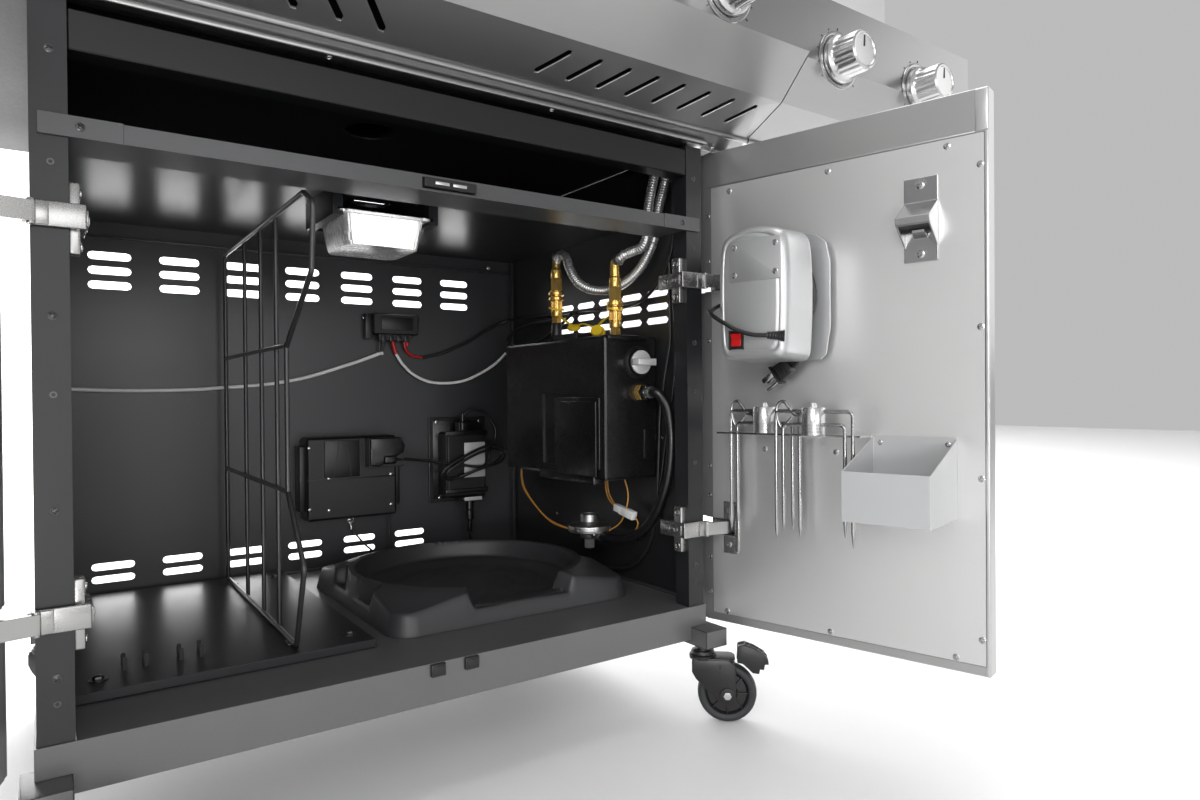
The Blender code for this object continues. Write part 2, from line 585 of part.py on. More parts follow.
# ================================================================ doors
def door(side, s):
    """Door built closed about its hinge line, then swung open by its parent."""
    piv = empty("door_%s_hinge_line" % side, (s * PIVOT_X, PIVOT_Y, 0), ROOT, s * math.radians(OPEN_DEG))
    ex, ey = HALF_W - 0.001 - PIVOT_X, -DOOR_GAP - PIVOT_Y

    def X(u):
        return s * (ex - u)

    def Y(w):
        return ey + w

    n = "door_%s_shell" % side
    sh = box(n, (X(0), X(DOOR_W)), (Y(-DOOR_T), Y(0)), (DOOR_Z0, DOOR_Z1), "steel", piv, bevel=0.0008)
    cut(sh, boxes(n + "_hollow", [tuple(sorted((X(0.0012), X(DOOR_W - 0.0012)))) + (Y(-DOOR_T + 0.0012), Y(-0.0012), DOOR_Z0 + 0.0012, DOOR_Z1 - 0.0012)], piv),
        boxes(n + "_mouth", [tuple(sorted((X(0.0100), X(0.3385)))) + (Y(-0.0020), Y(0.002), 0.1340, HEADER_Z)], piv))
    pk = []
    for z in HINGE_Z:
        pk.append(tuple(sorted((X(-0.002), X(0.0500)))) + (Y(-0.0150), Y(0.002), z - 0.0105, z + 0.0105))
    cut(sh, boxes(n + "_hinge_pockets", pk, piv))
    m = "door_%s_liner" % side
    li = box(m, (X(0.0105), X(0.3380)), (Y(-0.0100), Y(0)), (0.1345, HEADER_Z - 0.0005), "steel", piv)
    cut(li, boxes(m + "_back", [tuple(sorted((X(0.0117), X(0.3368)))) + (Y(-0.0120), Y(-0.0010), 0.1357, HEADER_Z - 0.0017)], piv))
    pk = []
    for z in HINGE_Z:
        pk.append(tuple(sorted((X(0.005), X(0.0500)))) + (Y(-0.0150), Y(0.002), z - 0.0105, z + 0.0105))
    cut(li, boxes(m + "_hinge_pockets", pk, piv))
    return piv, X, Y


def hinge_link(tag, s, z):
    """Moving link of a concealed hinge, turning at the front corner of the post."""
    piv = empty("hinge_%s_pin" % tag, (s * (HALF_W - 0.0009), -DOOR_GAP, z), ROOT, s * LINK_OPEN)
    pts = []
    for i in range(7):
        t = math.radians(90 + 30 * i)
        pts.append((s * 0.0032 * math.cos(t), s * 0.0032 * math.sin(t)))
    pts += [(s * 0.0290, -s * 0.0022), (s * (LINK_L - 0.001), -s * 0.0012), (s * LINK_L, s * 0.0008), (s * 0.0300, s * 0.0022)]
    return prism("hinge_link_" + tag, [pts], -0.0080, 0.0080, "xy", "nickel", piv)


DR, XR, YR = door("right", 1)
DL, XL, YL = door("left", -1)
for tag, s, z in (("right_lower", 1, HINGE_Z[0]), ("right_upper", 1, HINGE_Z[1]),
                  ("left_lower", -1, HINGE_Z[0]), ("left_upper", -1, HINGE_Z[1])):
    hinge_link(tag, s, z)

# ---- things stored on the right door (u along the door, w into the cabinet)
UM, ZM = 0.1180, 0.5300
mw, mh = 0.0930, 0.1540
PLUG_U = 0.1320


def motor_outline(cx, cz, w, h, k=1.0):
    pts = []
    for x, z in ((-0.40, -0.50), (0.40, -0.50), (0.455, -0.46), (0.50, -0.25), (0.50, 0.25), (0.46, 0.40), (0.36, 0.465), (0.18, 0.50),
                 (-0.18, 0.50), (-0.36, 0.465), (-0.46, 0.40), (-0.50, 0.25), (-0.50, -0.25), (-0.455, -0.46)):
        pts.append((cx + x * w * k, cz + z * h * k))
    return pts


mot = prism("rotisserie_motor", [motor_outline(XR(UM), ZM, mw, mh)], YR(0.0280), YR(0.0900), "xz", "silver", DR)
add_bevel(mot, 0.006, 2, 40)
cut(mot, box("motor_switch_hole", (XR(0.1075), XR(0.0925)), (YR(0.0780), YR(0.0950)), (0.4680, 0.4860), parent=DR, cutter=True))
rock = prism("motor_rocker_switch", [[(-0.0060, -0.0066), (0.0024, -0.0072), (0.0006, 0.0), (0.0036, 0.0072), (-0.0060, 0.0066)]],
             -0.0062, 0.0062, "yz", "red", DR)
rock.location = (XR(0.1000), YR(0.0885), 0.4770)

spool = prism("cord_spool", [motor_outline(XR(UM), ZM, 0.1170, 0.1500)], YR(0.0080), YR(0.0105), "xz", "black", DR)
fuse(spool, prism("cord_spool_core", [motor_outline(XR(UM), ZM, mw, mh, 0.50)], YR(0.0095), YR(0.0276), "xz", parent=DR, cutter=True),
     prism("cord_spool_foot", [motor_outline(XR(UM), ZM, mw, mh, 0.40)], YR(0.0004), YR(0.0090), "xz", parent=DR, cutter=True))

path = [(0.1430, 0.0930, 0.4800), (0.1250, 0.0975, 0.4815), (0.1060, 0.1010, 0.4880), (0.0940, 0.1018, 0.4950), (0.0840, 0.1010, 0.5005),
        (0.0710, 0.0955, 0.5085), (0.0650, 0.0800, 0.5160), (0.0645, 0.0550, 0.5240), (0.0665, 0.0330, 0.5300), (0.0740, 0.0246, 0.5330)]
lead = catmull([(XR(u), YR(w), z) for u, w, z in path], 3)
turns = []
steps = 26
for i in range(1, steps + 1):
    t = math.radians(180) - 2 * math.pi * 1.75 * i / steps
    w = 0.0238 - 0.0104 * i / steps
    turns.append(Vector((XR(UM + 0.0475 * math.cos(t)), YR(w), ZM + 0.0630 * math.sin(t))))
tail = [Vector((XR(PLUG_U - 0.0080), YR(0.0150), 0.4570)), Vector((XR(PLUG_U - 0.0160), YR(0.0170), 0.4480))]
cord = tube("power_cord", lead + turns + tail, 0.0024, "rubber", DR, seg=6)
fuse(cord, box("cord_plug", (XR(PLUG_U - 0.0300), XR(PLUG_U - 0.0060)), (YR(0.0090), YR(0.0250)), (0.4180, 0.4480), parent=DR, cutter=True),
     box("cord_prong_a", (XR(PLUG_U - 0.0480), XR(PLUG_U - 0.0290)), (YR(0.0110), YR(0.0126)), (0.4240, 0.4300), parent=DR, cutter=True),
     box("cord_prong_b", (XR(PLUG_U - 0.0480), XR(PLUG_U - 0.0290)), (YR(0.0214), YR(0.0230)), (0.4240, 0.4300), parent=DR, cutter=True),
     cyl("cord_prong_c", 0.0022, XR(PLUG_U - 0.0290), XR(PLUG_U - 0.0500), (YR(0.0170), 0.4370), "x", parent=DR, seg=10, cutter=True))

FORKS = (("a", 0.0965, 0.0200), ("b", 0.1690, 0.0400))
FORK_Z = 0.3685
hold = prism("fork_holder", [[(YR(0.0003), 0.3180), (YR(0.0018), 0.3180), (YR(0.0018), FORK_Z - 0.0015), (YR(0.0310), FORK_Z - 0.0015),
                             (YR(0.0310), FORK_Z), (YR(0.0003), FORK_Z)]], XR(0.0370), XR(0.2195), "yz", "steel", DR)
holes = []
for d in (-0.0460, -0.0370, 0.0370, 0.0460):
    x = XR(FORKS[0][1] + d)
    holes.append((x - 0.0034, x + 0.0034, YR(0.0166), YR(0.0234), FORK_Z - 0.01, FORK_Z + 0.01))
fuse(hold, box("fork_holder_tab", (XR(0.1580), XR(0.1800)), (YR(0.0290), YR(0.0510)), (FORK_Z - 0.0015, FORK_Z), parent=DR, cutter=True))
cut(hold, boxes("fork_holder_holes", holes, DR))
for tag, u, w in FORKS:
    fuse(hold, lathe("fork_peg_" + tag, [(0.0, -0.0010), (0.0048, -0.0010), (0.0048, 0.0330), (0.0034, 0.0365), (0.0, 0.0378)],
                     (XR(u), YR(w), FORK_Z), "z", parent=DR, seg=14, cutter=True))


def spit_fork(tag, u, w):
    piv = empty("spit_fork_%s_lift" % tag, (XR(u), YR(w), FORK_Z + 0.0003), DR)
    n = "spit_fork_" + tag
    o = lathe(n, [(0.0135, 0.0), (0.0135, 0.0315), (0.0060, 0.0315), (0.0060, 0.0), (0.0135, 0.0)], (0, 0, 0), "z", "chrome", piv,
              seg=24, smooth=False)
    for k, (half, bar_z, low) in enumerate(((0.0460, 0.0268, -0.1220), (0.0370, 0.0120, -0.1120))):
        t = 0.0019
        for sd in (-1, 1):
            leg = [(sd * 0.0100, bar_z - t), (sd * (half - t), bar_z - t), (sd * (half - t), low + 0.014), (sd * half, low),
                   (sd * (half + t), low + 0.014), (sd * (half + t), bar_z + t - 0.001), (sd * (half + t - 0.001), bar_z + t),
                   (sd * 0.0100, bar_z + t)]
            fuse(o, prism("%s_prong_%d%s" % (n, k, "lr"[sd > 0]), [leg], -t, t, "xz", parent=piv, cutter=True))
    ring = [(0.0120, 0.0200), (0.0210, 0.0200), (0.0270, 0.0260), (0.0340, 0.0320), (0.0395, 0.0310), (0.0410, 0.0250), (0.0400, 0.0120),
            (0.0370, 0.0070), (0.0330, 0.0070), (0.0270, 0.0120), (0.0290, 0.0142), (0.0335, 0.0104), (0.0352, 0.0104), (0.0370, 0.0130),
            (0.0378, 0.0240), (0.0370, 0.0275), (0.0345, 0.0285), (0.0295, 0.0238), (0.0225, 0.0168), (0.0120, 0.0168)]
    fuse(o, prism(n + "_thumb_loop", [ring], -0.0016, 0.0016, "xz", parent=piv, cutter=True))
    return o


for tag, u, w in FORKS:
    spit_fork(tag, u, w)

BU0, BU1 = 0.2210, 0.3110
bn = prism("condiment_bin", [[(YR(0.0003), 0.2830), (YR(0.0850), 0.2830), (YR(0.0850), 0.3350), (YR(0.0015), 0.3660), (YR(0.0015), 0.3690), (YR(0.0003), 0.3690)]],
           XR(BU0), XR(BU1), "yz", "bin", DR)
cut(bn, prism("condiment_bin_hollow", [[(YR(0.0015), 0.2842), (YR(0.0838), 0.2842), (YR(0.0838), 0.4000), (YR(0.0015), 0.4000)]],
              XR(BU0 + 0.0012), XR(BU1 - 0.0012), "yz", parent=DR, cutter=True))

OU0, OU1 = 0.2575, 0.2930
op = prism("bottle_opener", [[(YR(0.0003), 0.5560), (YR(0.0020), 0.5560), (YR(0.0020), 0.5720), (YR(0.0285), 0.5930), (YR(0.0300), 0.6000),
                              (YR(0.0020), 0.6200), (YR(0.0020), 0.6460), (YR(0.0003), 0.6460)]], XR(OU0), XR(OU1), "yz", "chrome", DR)
cut(op, prism("bottle_opener_mouth", [[(YR(0.0020), 0.5600), (YR(0.0260), 0.5600), (YR(0.0262), 0.5990), (YR(0.0020), 0.6155)]],
              XR(OU0 + 0.0018), XR(OU1 - 0.0018), "yz", parent=DR, cutter=True))
fuse(op, prism("bottle_opener_tooth", [[(YR(0.0010), 0.5800), (YR(0.0110), 0.5860), (YR(0.0120), 0.5885), (YR(0.0010), 0.5840)]],
               XR(0.2690), XR(0.2820), "yz", parent=DR, cutter=True))

# ================================================================ head
fb = box("firebox", (-0.3880, 0.3880), (0.0120, 0.5200), (FIRE_Z0, FIRE_Z1), "steel", bevel=0.002)
cut(fb, boxes("firebox_hollow", [(-0.3860, 0.3860, 0.0140, 0.5180, FIRE_Z0 + 0.0020, FIRE_Z1 + 0.02)]),
    cyl("firebox_drain", 0.030, FIRE_Z0 - 0.01, FIRE_Z0 + 0.01, (-0.013, 0.195), "z", seg=20, cutter=True))
fuse(fb, box("firebox_ledge_front", (-0.3865, 0.3865), (0.0135, 0.0240), (0.8690, 0.8715), cutter=True),
     box("firebox_ledge_rear", (-0.3865, 0.3865), (0.5080, 0.5185), (0.8690, 0.8715), cutter=True))

burner = cyl("burners", 0.0125, 0.0145, 0.4500, (-0.2700, 0.8000), "y", "steel", seg=12)
fuse(burner, *[cyl("burner_tube_%d" % i, 0.0125, 0.0145, 0.4500, (x, 0.8000), "y", seg=12, cutter=True) for i, x in enumerate((-0.09, 0.09, 0.27))],
     cyl("burner_cross_tube", 0.0070, -0.2700, 0.2700, (0.0600, 0.8000), "x", seg=8, cutter=True),
     cyl("burner_rear_rail", 0.0060, -0.2700, 0.2700, (0.4300, 0.8000), "x", seg=8, cutter=True))

loops = [rect(-0.3830, 0.3830, 0.0160, 0.5160)]
for i in range(24):
    x = -0.3750 + 0.0318 * i
    for y0, y1 in ((0.0280, 0.2610), (0.2710, 0.5040)):
        loops.append(rect(x, x + 0.0190, y0, y1))
prism("cooking_grate", loops, 0.8720, 0.8800, "xy", "iron")

lid_out = [(0.0120, 0.9062), (0.0060, 0.9600), (0.0180, 1.0250), (0.0500, 1.0800), (0.1100, 1.1280), (0.2000, 1.1580), (0.3100, 1.1680),
           (0.4100, 1.1560), (0.4800, 1.1200), (0.5140, 1.0600), (0.5220, 0.9900), (0.5220, 0.9062)]
lid_in = inset(lid_out[::-1], 0.0020)[::-1]
lid_in = [(lid_in[0][0], 0.9000)] + lid_in[1:-1] + [(lid_in[-1][0], 0.9000)]
lid = prism("lid", [lid_out], -0.3880, 0.3880, "yz", "steel")
cut(lid, prism("lid_hollow", [lid_in], -0.3860, 0.3860, "yz", cutter=True))
fuse(lid, cyl("lid_handle_bar", 0.0110, -0.3000, 0.3000, (-0.0400, 0.9900), "x", seg=16, cutter=True),
     *[cyl("lid_handle_post_%d" % i, 0.0085, -0.0400, 0.0120, (x, 0.9900), "y", seg=12, cutter=True) for i, x in enumerate((-0.27, 0.27))])

low = PANEL_LOW_Z
cp = prism("control_panel", [[(0.0, low), (0.0110, low), (0.0110, PANEL_TOP_Z), (PANEL_FRONT_Y, PANEL_TOP_Z), (PANEL_FRONT_Y, 0.8200), (-0.0800, 0.7730),
                             (-0.0200, 0.7430)]], -PANEL_X, PANEL_X, "yz", "steel")
cut(cp, prism("control_panel_hollow", [[(0.0005, low + 0.0018), (0.0200, low + 0.0018), (0.0200, PANEL_TOP_Z - 0.0015), (PANEL_FRONT_Y + 0.0015, PANEL_TOP_Z - 0.0015),
                                        (PANEL_FRONT_Y + 0.0015, 0.8206), (-0.0796, 0.7748), (-0.0197, 0.7448)]],
              -PANEL_X + 0.0015, PANEL_X - 0.0015, "yz", cutter=True))


def louvre(s, i):
    """Slanted vent slot with round ends through the underside of the panel."""
    a = Vector((0.3516 - 0.0386 * i, -0.0380))
    b = Vector((0.3744 - 0.0386 * i, -0.0660))
    d = (b - a).normalized()
    n = Vector((-d.y, d.x))
    pts = []
    for c, g in ((b, 1), (a, -1)):
        for k in range(3):
            t = math.radians(-90 + 90 * k)
            q = c + (d * math.cos(t) + n * math.sin(t)) * (0.0032 * g)
            pts.append((s * q.x, q.y))
    return prism("louvre_%d_%d" % (s, i), [pts], 0.7380, 0.8000, "xy", cutter=True)


cut(cp, *[louvre(s, i) for s in (-1, 1) for i in range(8)])

KNOB_Z = 0.8530
MAIN_X = (-0.2700, -0.0900, 0.0900, 0.2700)
SHELF_KNOB = ((0.4620, 0.8240), (0.6300, 0.8240))
SHELF_FRONT_Y = -0.1200
shafts = [cyl("panel_shaft_hole_%d" % i, 0.0048, -0.14, -0.11, (x, KNOB_Z), "y", seg=12, cutter=True) for i, x in enumerate(MAIN_X)]
cut(cp, *shafts)


def knob(name, x, y, z):
    o = lathe(name, [(0.0, 0.0100), (0.0040, 0.0100), (0.0040, -0.0004), (0.0290, -0.0004), (0.0300, -0.0080), (0.0250, -0.0120), (0.0240, -0.0380),
                     (0.0215, -0.0410), (0.0, -0.0410)], (0, 0, 0), "y", "silver", seg=24)
    o.location = (x, y - 0.0006, z)
    return o


for i, x in enumerate(MAIN_X):
    knob("burner_knob_%d" % (i + 1), x, PANEL_FRONT_Y, KNOB_Z)


def side_shelf(side, s):
    n = "side_shelf_" + side
    x0, x1 = sorted((s * (PANEL_X + 0.0012), s * SHELF_X))
    top = PANEL_TOP_Z
    o = prism(n, [[(-0.0100, 0.7430), (0.0100, 0.7570), (0.4700, 0.7570), (0.4700, top), (SHELF_FRONT_Y, top), (SHELF_FRONT_Y, 0.8150),
                   (-0.0800, 0.7730), (-0.0200, 0.7430)]], x0, x1, "yz", "steel")
    cut(o, prism(n + "_hollow", [[(-0.0106, 0.7447), (0.0094, 0.7587), (0.4685, 0.7587), (0.4685, top - 0.0015), (SHELF_FRONT_Y + 0.0015, top - 0.0015),
                                  (SHELF_FRONT_Y + 0.0015, 0.8156), (-0.0796, 0.7748), (-0.0197, 0.7447)]], x0 + 0.0015, x1 - 0.0015, "yz", cutter=True),
        box(n + "_mouth", (x0 + 0.0130, x1 - 0.0130), (0.0300, 0.4560), (0.7500, 0.7700), cutter=True))
    if s > 0:
        cut(o, *[cyl("shelf_shaft_hole_%d" % i, 0.0048, SHELF_FRONT_Y - 0.01, SHELF_FRONT_Y + 0.01, (x, z), "y", seg=12, cutter=True)
                 for i, (x, z) in enumerate(SHELF_KNOB)])
    return o


side_shelf("left", -1)
side_shelf("right", 1)
for i, (x, z) in enumerate(SHELF_KNOB):
    knob("shelf_knob_%d" % (i + 1), x, SHELF_FRONT_Y, z)
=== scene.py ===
"""Looks for the gas barbecue grill cart: cabinet interior, door with stored tools, gas train, casters and head."""

import math  # noqa: E402
import bpy  # noqa: E402
import bmesh  # noqa: E402
import numpy as np  # noqa: E402
from mathutils import Matrix, Vector, noise  # noqa: E402


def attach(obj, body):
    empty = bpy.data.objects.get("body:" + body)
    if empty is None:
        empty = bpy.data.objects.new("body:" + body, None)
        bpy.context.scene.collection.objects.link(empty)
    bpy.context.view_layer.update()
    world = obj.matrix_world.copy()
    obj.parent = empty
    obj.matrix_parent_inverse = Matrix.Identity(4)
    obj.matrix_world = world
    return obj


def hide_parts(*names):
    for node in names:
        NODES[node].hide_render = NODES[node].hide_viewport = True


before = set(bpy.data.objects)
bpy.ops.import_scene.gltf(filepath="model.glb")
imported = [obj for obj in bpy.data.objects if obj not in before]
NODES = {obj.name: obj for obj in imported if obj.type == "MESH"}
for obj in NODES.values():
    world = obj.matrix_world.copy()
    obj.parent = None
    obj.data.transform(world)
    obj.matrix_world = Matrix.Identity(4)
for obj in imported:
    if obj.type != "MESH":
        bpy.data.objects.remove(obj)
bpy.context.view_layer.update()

SY, SZ = -0.1190, -0.0050
CART = Matrix.Translation((0.0, SY, SZ))
PIVX, PIVY = 0.34502, 0.01245
EX, EY = -0.00102, -0.02045
SWING = math.radians(104.0)


def door_matrix(s):
    """From (u along the door, w into the cabinet, z) to the row frame."""
    local = Matrix(((-s, 0, 0, s * EX), (0, 1, 0, EY), (0, 0, 1, 0), (0, 0, 0, 1)))
    return Matrix.Translation((s * PIVX, PIVY + SY, SZ)) @ Matrix.Rotation(s * SWING, 4, "Z") @ local


DR, DL = door_matrix(1), door_matrix(-1)


# ================================================================ materials
def nodes_of(m):
    return m.node_tree.nodes, m.node_tree.links


def make(name, col, metal=0.0, rough=0.4, var=0.06, rvar=0.08, grain=(300, 300, 300), bump=0.05, dist=0.0004,
         blot=7.0, turn=0.0, coat=0.0, coat_rough=0.08, spec=0.5, ior=1.5, streak=0.5, speck=0.0, dust=0.0, emit=0.0):
    """Principled surface with grain at its own scale, blotchy colour and roughness, and fine relief."""
    m = bpy.data.materials.new(name)
    m.use_nodes = True
    N, L = nodes_of(m)
    b = N["Principled BSDF"]
    b.inputs["Metallic"].default_value = metal
    b.inputs["IOR"].default_value = ior
    b.inputs["Specular IOR Level"].default_value = spec
    b.inputs["Coat Weight"].default_value = coat
    b.inputs["Coat Roughness"].default_value = coat_rough
    tc = N.new("ShaderNodeTexCoord")
    src = tc.outputs["Object"]
    if turn:
        vr = N.new("ShaderNodeVectorRotate")
        vr.rotation_type = "Z_AXIS"
        vr.inputs["Angle"].default_value = turn
        L.new(src, vr.inputs["Vector"])
        src = vr.outputs["Vector"]
    mp = N.new("ShaderNodeMapping")
    mp.inputs["Scale"].default_value = grain
    L.new(src, mp.inputs["Vector"])
    fine = N.new("ShaderNodeTexNoise")
    fine.inputs["Scale"].default_value = 1.0
    fine.inputs["Detail"].default_value = 5.0
    fine.inputs["Roughness"].default_value = 0.62
    L.new(mp.outputs["Vector"], fine.inputs["Vector"])
    big = N.new("ShaderNodeTexNoise")
    big.inputs["Scale"].default_value = blot
    big.inputs["Detail"].default_value = 4.0
    L.new(src, big.inputs["Vector"])
    mx = N.new("ShaderNodeMix")
    mx.data_type = "FLOAT"
    mx.inputs[0].default_value = streak
    L.new(big.outputs["Fac"], mx.inputs[2])
    L.new(fine.outputs["Fac"], mx.inputs[3])
    rng = N.new("ShaderNodeMapRange")
    rng.inputs["From Min"].default_value = 0.28
    rng.inputs["From Max"].default_value = 0.72
    L.new(mx.outputs[0], rng.inputs["Value"])
    cm = N.new("ShaderNodeMix")
    cm.data_type = "RGBA"
    lo = [max(0.0, c * (1 - var)) for c in col]
    hi = [min(1.0, c * (1 + var)) for c in col]
    cm.inputs[6].default_value = (*lo, 1)
    cm.inputs[7].default_value = (*hi, 1)
    L.new(rng.outputs["Result"], cm.inputs[0])
    out = cm.outputs[2]
    if speck or dust:
        sp = N.new("ShaderNodeTexNoise")
        sp.inputs["Scale"].default_value = 900.0 if speck else 60.0
        sp.inputs["Detail"].default_value = 3.0
        L.new(src, sp.inputs["Vector"])
        sr = N.new("ShaderNodeMapRange")
        sr.inputs["From Min"].default_value = 0.60
        sr.inputs["From Max"].default_value = 0.78
        sr.inputs["To Max"].default_value = speck or dust
        L.new(sp.outputs["Fac"], sr.inputs["Value"])
        dm = N.new("ShaderNodeMix")
        dm.data_type = "RGBA"
        dm.inputs[7].default_value = (min(1, col[0] * 2.5 + 0.04), min(1, col[1] * 2.5 + 0.04), min(1, col[2] * 2.5 + 0.04), 1)
        L.new(sr.outputs["Result"], dm.inputs[0])
        L.new(out, dm.inputs[6])
        out = dm.outputs[2]
    L.new(out, b.inputs["Base Color"])
    rr = N.new("ShaderNodeMapRange")
    rr.inputs["From Min"].default_value = 0.25
    rr.inputs["From Max"].default_value = 0.75
    rr.inputs["To Min"].default_value = max(0.02, rough - rvar)
    rr.inputs["To Max"].default_value = min(1.0, rough + rvar)
    L.new(mx.outputs[0], rr.inputs["Value"])
    L.new(rr.outputs["Result"], b.inputs["Roughness"])
    bp = N.new("ShaderNodeBump")
    bp.inputs["Strength"].default_value = bump
    bp.inputs["Distance"].default_value = dist
    L.new(fine.outputs["Fac"], bp.inputs["Height"])
    L.new(bp.outputs["Normal"], b.inputs["Normal"])
    # emission makes the surface glow without a lamp, as painted light
    if emit:
        b.inputs["Emission Color"].default_value = (1, 1, 1, 1)
        b.inputs["Emission Strength"].default_value = emit
    return m


